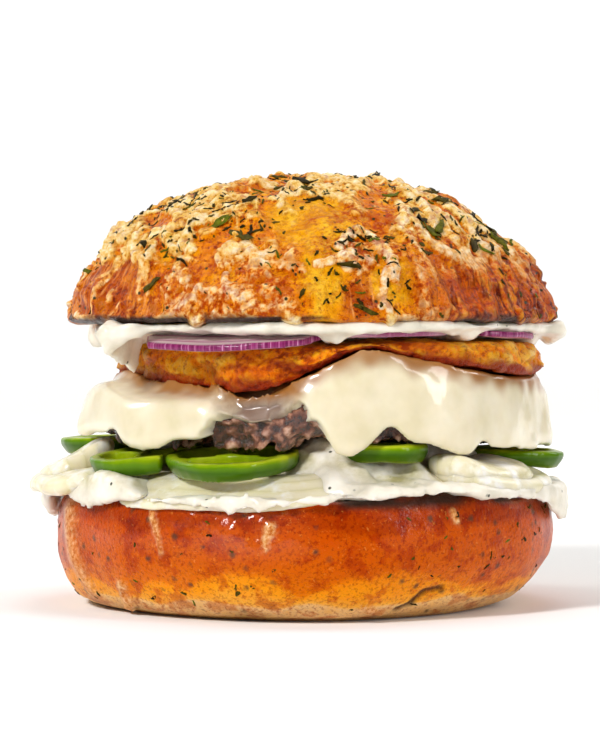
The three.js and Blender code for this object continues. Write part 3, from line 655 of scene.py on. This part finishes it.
patty = copied("beef_patty", "seared_beef_patty", PATTY_VOXEL)
spots = places_of(patty)
rings = ["pepper_ring_" + side for side in PEPPER_SIDES]
spots[:, 2] += room(spots, facing_of(patty), -1, rings, 5 * MM)
put(patty, spots)
soften(patty, 6)
remesh(patty, PATTY_VOXEL)
spots = places_of(patty)
drift = sway(spots, 3, 90) * 1.2 * MM
crumb, crumb_tone = grains(spots + drift, MEAT_CRUMB, 94)
crumb_small = grains(spots + drift, 1.7, 95)[0]
relief = 1.3 * (crumb - 0.5) + 0.6 * (crumb_small - 0.5) + 0.5 * lumps(spots, 8, 96)
put(patty, spots + facing_of(patty) * (relief * MM)[:, None])
mark(patty, crumb=np.clip(0.7 * crumb + 0.3 * crumb_small, 0, 1), tone=crumb_tone)

meat = blank("seared_ground_beef")
# Browned meat wetted by fat, with greasy highlights. Colour follows the crumbs' height: painted shade
# makes the seams dark purple-brown and painted light makes the crumb tops pale.
fine = add("TexNoise", size=1.5, Detail=5, Roughness=0.65)
# Painted shade in the seams and painted light on the crumb tops, from the crumbs' height.
blend = add("Math", fine, 0.6, "@crumb")
browned = add("ValToRGB", blend, stops="0.3 2c0e06, 0.48 703c28, 0.63 b48064, 0.79 dcb098, 1 f4d8c4")
toned = add("ValToRGB", "@tone", stops="0 b08a80, 0.6 ffffff, 1 ffe2d0")
meaty = add("Mix", blend_type="MULTIPLY", Factor=0.7, A=browned, B=toned)
gristle = add("Bump", Height=fine, Strength=1, Distance=0.85 * MM)
add("BsdfPrincipled", Base_Color=meaty, Roughness=0.25, Normal=gristle, IOR=1.45,
    Coat_Weight=1, Coat_Roughness=0.05, Coat_Normal=gristle)
patty.data.materials.append(meat)
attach(patty, "root")
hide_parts("beef_patty")

# Melted cheese
# Two slices of mild white cheese melted over the hot patty: thick where they overlap at the right, so thin at
# the left that the meat shows through as a grey tint, and run down in drips with rounded, fatter ends.
CHEESE_VOXEL = 0.73 * MM
CHEESE_THIN = (  # (x, z) of the middle, half width and half height of each place where the cheese is thin
    (-11, 46, 12, 5.5), (-8, 41, 9, 5),
)
CHEESE_HOLES = (  # the same for the places where it has pulled apart over the meat
    (-16.5, 41.4, 3.8, 2.6), (-8.5, 40, 6, 2.4), (-3.4, 43.4, 3.4, 3.2), (-11, 38.6, 9, 1.8),
    (-19.5, 39.2, 2.6, 1.6), (1, 40, 2.4, 3.4),
)

cheese = copied("melted_cheese", "melted_white_cheese", CHEESE_VOXEL, 8)
spots, outward = places_of(cheese), facing_of(cheese)
spots[:, 2] += room(spots, outward, 1, ("fried_fillet",), 3.5 * MM)
across = spots[:, 0] / MM
for inside, hem in ((across - 38, 35.6), (-42 - across, 38.6), (6 - np.abs(across + 25), 38.4)):
    hem += lumps(spots * (1, 1, 0), 9, 106)
    hung = np.minimum(spots[:, 2] / MM, hem) - spots[:, 2] / MM
    spots[:, 2] += hung * MM * (outward[:, 2] < -0.2) * step(0, 2.5, inside) * (spots[:, 2] < 46 * MM)
put(cheese, spots)
remesh(cheese, CHEESE_VOXEL, 20)
spots = places_of(cheese)
front = step(10, -10, spots[:, 1] / MM)
side_view = spots[:, [0, 2]] / MM
thin = step(1.1, 0.3, from_ovals(side_view, CHEESE_THIN)) * front
thin = np.maximum(thin, 0.4 * (1 - front) * step(0.2, 0.7, lumps(spots, 14, 102)))
torn = from_ovals(side_view, CHEESE_HOLES) + 0.45 * lumps(spots, 3.2, 105)
bared = step(1.15, 0.85, torn) * front
lump = grains(spots, 7.5, 101)[0]
drift = sway(spots, 8, 121) * 5 * MM
crease = 1 - np.abs(lumps(spots * (1, 1, 0.35) + drift, 5, 104)) * 2
pleated = step(46, 53, np.abs(spots[:, 0] / MM + 1))
relief = (0.55 * lumps(spots, 13, 100) + 0.7 * (lump - 0.5) * (0.15 + thin)
          + 0.4 * crease * step(0.15, 0.8, thin)
          + 0.8 * pleated * lumps(spots * (1, 1, 0.6) + 0.5 * drift, 6, 108))
lifted = spots + facing_of(cheese) * (relief * MM)[:, None]
sunk, meat_skin = np.clip(0.8 * thin * front + bared, 0, 1), skin_of(patty)
for index in np.flatnonzero(sunk > 0.02):
    meat, normal = meat_skin.find_nearest(Vector(lifted[index]))[:2]
    laid = meat + normal * ((0.5 - 1.6 * bared[index]) * MM)
    lifted[index] += (np.array(laid) - lifted[index]) * sunk[index]
put(cheese, lifted)
soften(cheese, 3)
veil = 0.15 * pleated * step(0.5, -0.3, crease)
mark(cheese, thin=np.clip(thin * (0.85 + 0.35 * lumps(spots, 5, 103)) + veil, 0, 1))
# Oil stain and painted shadow: the cheese is darkened close under the fillet.
fried = skin_of(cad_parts["fried_fillet"])
greased = np.array([fried.find_nearest(Vector(spot))[3] / MM for spot in lifted])
mark(cheese, greased=step(5.2, 0.6, greased + 1.4 * lumps(spots, 3, 107)))

melted = blank("melted_mild_cheese")
# Soft fat and protein: ivory, smooth, with wet highlights. Thin places take the colour of the meat.
swirl = add("TexNoise", size=9, Detail=3, Roughness=0.5)
ivory = add("ValToRGB", swirl, stops="0.3 e0d4b0, 0.5 ece0c2, 0.7 f3e9d0")
ragged = add("TexNoise", size=3.5, Detail=4, Roughness=0.6)
ragged_thin = add("Math", ragged, 0.5, "@thin")
show_through = add("MapRange", ragged_thin, 0.45, 1, To_Max=0.95)
cheese_tone = add("Mix", Factor=show_through, A=ivory, B="84695a")
# Painted shadow under the fillet, with its oil stain.
cheese_tone = add("Mix", blend_type="MULTIPLY", Factor="@greased", A=cheese_tone, B="b07c44")
oil = add("TexNoise", size=3, Detail=2)
oily = add("Bump", Height=oil, Strength=0.15, Distance=0.4 * MM)
add("BsdfPrincipled", Base_Color=cheese_tone, Roughness=0.3, Normal=oily, IOR=1.46,
    Subsurface_Weight=0.35, Subsurface_Radius=(1, 0.8, 0.45), Subsurface_Scale=2.2 * MM,
    Coat_Weight=0.6, Coat_Roughness=0.06, Coat_Normal=oily)
cheese.data.materials.append(melted)
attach(cheese, "root")
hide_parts("melted_cheese")

# Fried fillet
# A fillet in seasoned batter, fried until its coating is crisp: crags and blisters of orange-brown crust with
# oil on the skin; their tops are painted golden as light and their creases dark as shade.
FILLET_VOXEL = 0.65 * MM
BATTER_CRAG = 5.0

fillet = copied("fried_fillet", "battered_fried_fillet", FILLET_VOXEL, 8)
spots = places_of(fillet)
drift = sway(spots, 5, 110) * 2.0 * MM
crag, crag_tone = grains((spots + drift) * (0.6, 0.6, 1.1), BATTER_CRAG, 114)
grit, grit_tone = grains(spots + 0.5 * drift, 2.1, 115)
dust = grains(spots, 1.15, 116)[0]
crag, grit = 1 - (1 - crag) ** 2, 1 - (1 - grit) ** 2
relief = (0.9 * lumps(spots, 9, 117) + 1.2 * (crag - 0.6) * (0.6 + 0.8 * crag_tone)
          + 0.8 * (grit - 0.5) * (0.2 + grit_tone) + 0.5 * (dust - 0.4))
outward = facing_of(fillet)
put(fillet, spots + outward * (relief * (1 - 0.6 * np.abs(outward[:, 2])) * MM)[:, None])
mark(fillet, crag=np.clip(0.45 * crag + 0.3 * grit * (0.4 + 0.6 * grit_tone) + 0.3 * dust, 0, 1))
# under: batter that faces down, painted darker as shade.
mark(fillet, tone=crag_tone + 0.7 * step(16, 34, np.abs(spots[:, 0] / MM - 2)),
     under=step(0.15, -0.5, outward[:, 2]))

batter = blank("fried_seasoned_batter")
# Flour batter coloured by paprika: translucent amber crust over orange, shiny with oil.
crisp = add("TexNoise", size=4, Detail=6, Roughness=0.65)
# Colour follows the crags' height: painted light makes the tops golden, painted shade darkens the creases.
fry_and_painted_light = add("Math", crisp, 0.7, "@crag")
fry_and_painted_light = add("Math", "@tone", 0.18, fry_and_painted_light)
fried = add("ValToRGB", add("MapRange", fry_and_painted_light, 0.4, 1.4), stops=(
    "0 b84200, 0.13 ec7400, 0.27 ff9608, 0.44 ffb014, 0.7 ffc444, 1 ffdc8c"))
charry = add("TexNoise", size=1.3, Detail=4, Roughness=0.7)
charry = add("ValToRGB", charry, stops="0.36 a05830, 0.44 f0d0b0, 0.5 ffffff")
fried = add("Mix", blend_type="MULTIPLY", Factor=0.65, A=fried, B=charry)
# Painted shade: batter facing down is darkened.
fried = add("Mix", blend_type="MULTIPLY", Factor="@under", A=fried, B="9c4c18")
crumbs = add("TexNoise", size=0.9, Detail=4, Roughness=0.7)
crumbed = add("Bump", Height=crumbs, Strength=1, Distance=0.85 * MM)
add("BsdfPrincipled", Base_Color=fried, Roughness=0.4, Normal=crumbed, IOR=1.46,
    Specular_IOR_Level=0.4, Specular_Tint="ffa040", Coat_Weight=0.3, Coat_Roughness=0.08,
    Coat_Normal=crumbed)
fillet.data.materials.append(batter)
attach(fillet, "root")
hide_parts("fried_fillet")

# Red onion
# Thin slices cut across a red onion. Each has a magenta skin at its rim, finely striped where the cells were
# cut, and a watery pinkish face with arcs of purple between its layers.
RED_ONION_VOXEL = 0.5 * MM
STRIPE = 0.8 * MM
RED_ONION_SIDES = ("front_left", "front", "right", "back_right", "back_left")

red_onion = blank("raw_red_onion")
# Pigment sits in the outer cells of each layer: a deep magenta rim, a clear and pinkish face.
stripe = add("TexNoise", Vector=add("CombineXYZ", "@stripe"), Scale=1, Detail=2, Roughness=0.7)
magenta = add("ValToRGB", stripe, stops="0.3 560a3c, 0.47 7c1c56, 0.56 9c3a74, 0.66 d49cc0")
layer_line = add("Math", "@ring", operation="FRACT")
face_tone = add("ValToRGB", layer_line, stops="0 9a4a74, 0.1 cfa3b4, 0.5 e3cfcf, 0.85 d9bcc4, 1 a4577f")
onion_tone = add("Mix", Factor="@rind", A=face_tone, B=magenta)
add("BsdfPrincipled", Base_Color=onion_tone, Roughness=0.2, IOR=1.40,
    Subsurface_Weight=0.35, Subsurface_Radius=(1, 0.5, 0.7), Subsurface_Scale=1.2 * MM)

for seed, side in enumerate(RED_ONION_SIDES):
    red_node = "red_onion_" + side
    onion = copied(red_node, red_node + "_slice", RED_ONION_VOXEL, 2)
    spots, outward = places_of(onion), facing_of(onion)
    reach = np.linalg.norm(spots[:, :2], axis=1)
    away = (spots[:, :2] * outward[:, :2]).sum(axis=1) / np.maximum(reach, 1e-6)
    mark(onion, rind=step(0.1, 0.5, away) * (0.3 if side == "front" else 1),
         ring=(reach.max() - reach) / ONION_LAYER,
         stripe=np.arctan2(spots[:, 0], -spots[:, 1]) * reach.max() / STRIPE)
    spots[:, 2] += 0.3 * lumps(spots * (1, 1, 0), 10, 130 + seed) * MM
    spots[:, 2] += (1.2 * step(53 * MM, 45 * MM, reach) - 0.5 * (side == "front_left")) * MM
    put(onion, spots)
    onion.data.materials.append(red_onion)
    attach(onion, "root")
    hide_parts(red_node)

# Upper sauce
# The same herb sauce, spread on the cut face of the crown. It shows as a white band and hangs down at the
# left in a thick fold beside the fillet.
upper_sauce = copied("upper_sauce", "upper_cream_sauce", SAUCE_VOXEL)
spots, outward = places_of(upper_sauce), facing_of(upper_sauce)
reach = np.maximum(np.linalg.norm(spots[:, :2], axis=1), 1 * MM)
across = spots[:, 0] / MM
band = step(44 * MM, 50 * MM, reach) * step(59.5 * MM, 61.5 * MM, spots[:, 2])
below = ["fried_fillet"] + ["red_onion_" + side for side in RED_ONION_SIDES]
spots[:, 2] += room(spots, outward, -1, below, 4 * MM) * (reach < 50 * MM)
spots[:, 2] += room(spots, outward, 1, ("bun_crown",), 3 * MM)
over_face = step(-37, -34, across) * step(4, 1, across) * step(-15 * MM, -25 * MM, spots[:, 1])
spots[:, 2] = np.maximum(spots[:, 2], 61.6 * MM * over_face)
bulge = band * (2.0 + 1.4 * lumps(spots * (1, 1, 0), 7, 144)) * MM
spots[:, :2] += spots[:, :2] * (bulge / reach)[:, None]
put(upper_sauce, spots)
remesh(upper_sauce, SAUCE_VOXEL, 5)
creamy(upper_sauce, 0.85, 140)
upper_sauce.data.materials.append(cream)
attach(upper_sauce, "root")
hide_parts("upper_sauce")

# Bun crown
# The upper half of the bun. Grated cheese was baked on it until it ran, blistered and browned: pale strands
# run downhill over orange crust, bare glossy crust shows at the lower left, and the cut rim is charred.
CROWN_VOXEL = 0.58 * MM
RIM_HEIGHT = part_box("bun_crown")[0].z
STRAND_COUNT = 200
STRAND_LENGTH = (6 * MM, 17 * MM)
STRAND_WIDTH = (0.9 * MM, 1.9 * MM)
STRAND_HEIGHT = (0.6 * MM, 1.35 * MM)
CLOT = 4.8
NUB = 2.6
BEAD = 1.3
RIDGE = 3.2
RIDGE_REACH = 48  # the reach at which ridges have their true width
LARGE_HERBS = 340
LARGE_HERB_LENGTH = (2.0 * MM, 6.5 * MM)
SMALL_HERBS = 900
SMALL_HERB_LENGTH = (0.7 * MM, 2.4 * MM)
BARE_CRUST = (  # (x, z) of the middle, half width and half height of crust without cheese, on the front
    (-43, 70, 9, 8.5), (-36, 66, 4, 5), (12, 69, 4, 4),
)
BUTTERY = (  # the same for smooth yellow patches where fat pooled
    (1, 86, 9, 6), (4, 76, 5, 12), (18, 72, 5, 5),
)
BLISTERED = (  # the same for big blisters
    (-17, 70, 17, 7), (12, 82, 12, 7), (-30, 69, 5, 4.5),
)
CHEESE_HEAPS = (  # the same for places where much cheese lies
    (-27, 68.5, 3.4, 6), (-14.7, 67.5, 12.5, 5), (-9, 76.5, 11, 5.5), (-20, 89, 10, 4.5),
    (-37.5, 81, 9.5, 4.5), (11.5, 70, 2.8, 5.5), (21, 80, 4.5, 3.6), (27, 87, 7, 4),
    (19, 73, 3.2, 2.8), (33, 76, 5, 7), (5, 94, 9, 3), (40, 68, 3, 4),
)
HERB_CLUSTERS = (  # the same for places where herbs fell thickly
    (-3, 92.5, 8, 3), (-15, 84, 8, 3), (-29, 79.5, 7.5, 3.2), (14, 80, 7, 4),
    (40, 84, 8, 5), (-22, 90, 8, 2.5),
)
RIM_DRIPS = (  # the same for cheese that ran over the rim
    (-23.3, 64.6, 1.9, 2.4), (17.6, 64.6, 1.4, 1.8), (46.9, 65.2, 1.5, 3.2), (-3, 64.2, 2.4, 1.6),
)

crown = copied("bun_crown", "crown_crust", CROWN_VOXEL)
above_rim = crown.vertex_groups.new(name="above_rim")
above_rim.add(np.flatnonzero(places_of(crown)[:, 2] > RIM_HEIGHT + 2.2 * MM).tolist(), 1, "REPLACE")
soften(crown, 34, vertex_group="above_rim")
spots, outward, skin = places_of(crown), facing_of(crown), skin_of(crown)
level = (spots[:, 2] - RIM_HEIGHT) / MM
front = step(8, -8, spots[:, 1] / MM)
side_view = spots[:, [0, 2]] / MM


def patches(ovals, size, seed):
    """1 inside the ovals on the front, and inside random patches of the given size on the back."""
    away = from_ovals(side_view, ovals) + 0.25 * lumps(spots, 5, seed + 1)
    return step(1.25, 0.75, away) * front + (1 - front) * step(0.15, 0.5, lumps(spots, size, seed))


bare = patches(BARE_CRUST, 16, 150)
buttery = patches(BUTTERY, 14, 152)
blistered = patches(BLISTERED, 13, 154)
luck = np.random.default_rng(7)
open_crust = (level > 1.5) & (outward[:, 2] > 0.02)
right = np.maximum(step(5, 30, spots[:, 0] / MM), 0.75 * (1 - front))
odds = open_crust * np.clip(1.02 - 0.9 * bare - 0.55 * buttery, 0, 1) * (0.3 + 0.7 * right)
strands = np.zeros(len(spots))
for index in luck.choice(len(spots), STRAND_COUNT, replace=False, p=odds / odds.sum()):
    up = Vector(outward[index])
    down = Vector((0, 0, -1)) + up * up.z
    down = (down + Vector(luck.normal(0, 0.16, 3))).normalized()
    veer = luck.normal(0, 0.5)
    down = (down * math.cos(veer) + up.cross(down) * math.sin(veer)).normalized()
    length, half, tall = (luck.uniform(*pair) for pair in (STRAND_LENGTH, STRAND_WIDTH, STRAND_HEIGHT))
    point, bow, route = Vector(spots[index]), luck.normal(0, 0.12), []
    for _ in range(6):
        route.append(point)
        point = skin.find_nearest(point + down * length / 5)[0]
        down = (down + up.cross(down) * bow).normalized()
    close = np.flatnonzero(np.linalg.norm(spots - spots[index], axis=1) < length + 2 * half)
    away = along(spots[close], route) / (half * (1 + 0.3 * lumps(spots[close], 2.5, 9)))
    bead = tall * np.clip(1 - away ** 2, 0, 1) ** 0.65
    strands[close] = np.maximum(strands[close], bead) + 0.25 * np.minimum(strands[close], bead)
drift = sway(spots, 4, 164) * 1.8 * MM
jitter = sway(spots, 1.6, 167) * 0.8 * MM
clot, clot_tone = grains(spots + drift + jitter, CLOT, 163)
nub, nub_tone = grains(spots + 0.6 * drift + jitter, NUB, 156)
clot, nub = 1 - (1 - clot) ** 7, 1 - (1 - nub) ** 7
bead = grains(spots + 0.3 * drift, BEAD, 157)[0]
reach = np.maximum(np.linalg.norm(spots[:, :2], axis=1), 1 * MM)
around = spots[:, :2] / reach[:, None] * RIDGE_REACH
fall_line = np.column_stack([around, 0.28 * level]) * MM
ridge, ridge_tone = grains(fall_line + 0.5 * drift, RIDGE, 158)
ridge = 1 - (1 - ridge) ** 2
ridged = right * step(20 * MM, 32 * MM, reach)
heaped = patches(CHEESE_HEAPS, 12, 184)
umber = step(15, 37, spots[:, 0] / MM) * step(20, 7, level + 3 * lumps(spots, 8, 175))
cheesy = 0.14 + 0.28 * step(7, 20, level) + 0.25 * lumps(spots, 9, 153) - 0.25 * umber
cheesy += (0.62 + 0.2 * blistered) * heaped
cheesy = cheesy * (1 - 0.85 * bare) - 0.3 * buttery
torn = (lumps(spots + drift, 6.5, 181) * (1 - 0.8 * heaped)
        + 0.75 * lumps(spots + 0.6 * drift, 3, 182) + 0.6 * lumps(spots, 1.4, 183))
film = cheesy - 0.42 + 0.8 * torn
melt = step(-0.15, 0.45, film) * (1 - 0.6 * ridged)
clotted = clot * step(-0.1, 0.12, cheesy - clot_tone) * (1 - 0.6 * blistered) * (1 - 0.75 * ridged)
nubbed = nub * step(-0.1, 0.12, cheesy + 0.1 - nub_tone)
ridges = ridge * step(-0.2, 0.2, 0.7 - 0.6 * bare - ridge_tone) * ridged
strand_share = np.clip(strands / (0.9 * MM), 0, 1) * (1 - 0.5 * bare)
lumpy = np.max([melt * (0.6 + 0.4 * clotted), 0.5 * nubbed, 0.85 * ridges * (1 - 0.5 * umber),
                strand_share * (1 - 0.3 * umber)], axis=0)
cover = np.clip(lumpy + 0.25 * (bead - 0.5) * (1 - bare), 0, 1)
relief = (0.8 * strands / MM * (1 - 0.6 * bare) + 0.65 * melt + 0.5 * clotted * melt
          + (0.7 + 0.6 * umber) * ridges + 0.5 * nub * melt
          + 0.3 * (bead - 0.4) + 0.9 * lumps(spots, 7, 159) + 0.3 * lumps(spots, 2.2, 160))
relief *= step(0.2, 2.5, level) * step(-0.3, 0.15, outward[:, 2])
charred_reach = 1.4 + 1.3 * lumps(spots * (1, 1, 0), 6, 161)
charred = step(charred_reach + 0.5, charred_reach - 0.3, level + 0.4 * lumps(spots, 2, 170))
charred *= step(-0.5, 0, lumps(spots * (1, 1, 0), 10, 162)) * (1 - 0.8 * cover * step(0.5, 1.2, level))
drip = step(1.1, 0.35, from_ovals(side_view, RIM_DRIPS) + 0.2 * lumps(spots, 1.5, 171))
drip *= step(-20, -35, spots[:, 1] / MM)
lifted = spots + outward * (relief * MM)[:, None] + drip[:, None] * np.array([0, -0.8, -0.9]) * MM
wave = 0.45 * lumps(spots * (1, 1, 0), 6, 172) + 0.25 * lumps(spots * (1, 1, 0), 2.2, 173)
lifted[:, 2] += wave * MM * step(3, 0.5, level) * step(44 * MM, 52 * MM, reach)
put(crown, lifted)
modify(crown, "SMOOTH", factor=0.4, iterations=1)
mark(crown, cover=np.maximum(cover, drip), charred=charred * (1 - drip), butter=buttery, bare=bare,
     umber=umber, level=level, around=np.arctan2(spots[:, 0], -spots[:, 1]) * RIDGE_REACH)
mark(crown, blister=(0.3 + 0.7 * blistered) * step(0.4, 0.1, np.minimum(nub, clot + 0.2)) * (1 - bare))
mark(crown, upper=np.maximum(drip, step(10, 23, level + 5 * step(0, -30, spots[:, 0] / MM))))

topping = blank("cheese_baked_crust")
# Baked grated cheese over brioche crust: cream where it is thick, toasted tan on its tops, clear orange where
# its fat soaked the crust, black and purple-grey where the rim charred.
coords = add("TexCoord")
mottle = add("TexNoise", size=5, Detail=6, Roughness=0.6)
bare_tone = add("ValToRGB", mottle, stops="0.28 7c2a00, 0.43 b04600, 0.56 c86400, 0.7 e48c08")
butter_tone = add("ValToRGB", mottle, stops="0.3 d08000, 0.5 f0a808, 0.7 fccc38")
open_tone = add("ValToRGB", mottle, stops="0.3 c05800, 0.43 de7c00, 0.56 f09a06, 0.7 fabc28")
open_tone = add("Mix", Factor="@bare", A=open_tone, B=bare_tone)
fatty = add("Mix", Factor="@butter", A=open_tone, B=butter_tone)
fine = add("TexNoise", size=1.3, Detail=5, Roughness=0.7)
grainy = add("ValToRGB", fine, stops="0.37 904424, 0.44 d8a078, 0.49 ffffff, 0.6 fff0c4")
grainy_share = add("MapRange", "@butter", To_Min=0.9, To_Max=0.35)
fatty = add("Mix", blend_type="MULTIPLY", Factor=grainy_share, A=fatty, B=grainy)
bubbly = add("TexNoise", size=1.6, Detail=2)
bubbly = add("VectorMath", bubbly.outputs["Color"], (1.5 * MM,) * 3, coords)
bubble = add("TexVoronoi", Vector=bubbly, size=1.8)
down = add("CombineXYZ", "@around", add("Math", "@level", 0.12, operation="MULTIPLY"))
lines = add("TexNoise", Vector=down, Scale=1, Detail=3, Roughness=0.6)
lined = add("MapRange", lines, 0.56, 0.66, To_Max=0.75)
lined = add("Math", lined, "@bare", operation="MULTIPLY")
fatty = add("Mix", Factor=lined, A=fatty, B="f4a455")
cover_rough = add("Math", fine, 0.5, "@cover")
cream_share = add("Math", "@cover", 0.4, 0.12)
cream_share = add("Math", bubble, -0.32, cream_share)
cream_share = add("Math", fine, 0.95, cream_share)
peach = add("ValToRGB", cream_share, stops=(
    "0.44 a43600, 0.53 d46400, 0.59 ec9028, 0.67 f4b868, 0.77 fcd294, 0.9 ffecca"))
straw = add("ValToRGB", cream_share, stops=(
    "0.4 74480c, 0.5 b4781a, 0.59 dca43c, 0.68 f0c468, 0.78 f8d890, 0.92 ffecc0"))
cheese_tone = add("Mix", Factor="@upper", A=peach, B=straw)
covered = add("MapRange", cover_rough, 0.5, 0.8)
cheesy = add("Mix", Factor=covered, A=fatty, B=cheese_tone)
toast = add("TexNoise", size=2.6, Detail=4, Roughness=0.6)
toast_seen = add("MapRange", toast, 0.56, 0.68, To_Max=0.75)
toasted = add("Mix", Factor=toast_seen, A=cheesy, B="b86412")
seam_rough = add("MapRange", fine, 0.4, 0.56, To_Min=1, To_Max=0.45)
seam_share = add("Math", "@blister", seam_rough, operation="MULTIPLY")
seamed = add("Mix", Factor=seam_share, A=toasted, B="ac3800")
speck_seen = specks(0.22, 0.14, 0.80, 0.84, size=2.1)
furrow = add("MapRange", lines, 0.52, 0.4)
furrow_share = add("Math", "@bare", 0.2, "@umber")
furrow = add("Math", furrow, furrow_share, operation="MULTIPLY")
deeper = add("Mix", blend_type="MULTIPLY", Factor="@umber", A=seamed, B="dca42c")
deeper = add("Mix", blend_type="MULTIPLY", Factor=furrow, A=deeper, B="986838")
specked = add("Mix", Factor=speck_seen, A=deeper, B="33301a")
char_tone = add("ValToRGB", fine, stops="0.35 1c0f0c, 0.55 3a2622, 0.7 6e5a5c")
coloured = add("Mix", Factor="@charred", A=specked, B=char_tone)
dull = add("MapRange", covered, To_Min=0.34, To_Max=0.48)
crumb = add("TexNoise", size=0.9, Detail=4, Roughness=0.6)
crumb = add("Math", bubble, -0.9, crumb)
wet_share = add("MapRange", furrow_share, To_Min=0.16, To_Max=0.35)
crumbed = add("Bump", Height=crumb, Strength=1, Distance=0.7 * MM)
add("BsdfPrincipled", Base_Color=coloured, Roughness=dull, Normal=crumbed, IOR=1.46,
    Specular_IOR_Level=0.14, Specular_Tint="ff8c20", Coat_Weight=wet_share,
    Coat_Roughness=0.04, Coat_Normal=crumbed)
crown.data.materials.append(topping)
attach(crown, "root")
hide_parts("bun_crown")

crowded = 0.12 + 1.2 * step(-0.1, 0.6, lumps(spots, 9, 176)) + 0.7 * step(12, 24, level)
crowded += 3.2 * patches(HERB_CLUSTERS, 9, 186)
herbs_large = strewn("crown_herbs_large", crown, LARGE_HERBS, LARGE_HERB_LENGTH, 31, RIM_HEIGHT + 2 * MM,
                     1, 0.02, crowded)
herbs_small = strewn("crown_herbs_small", crown, SMALL_HERBS, SMALL_HERB_LENGTH, 32, RIM_HEIGHT + 1 * MM,
                     1, 0.04, crowded)
for herbs in (herbs_large, herbs_small):
    herbs.data.materials.append(herb)
    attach(herbs, "root")
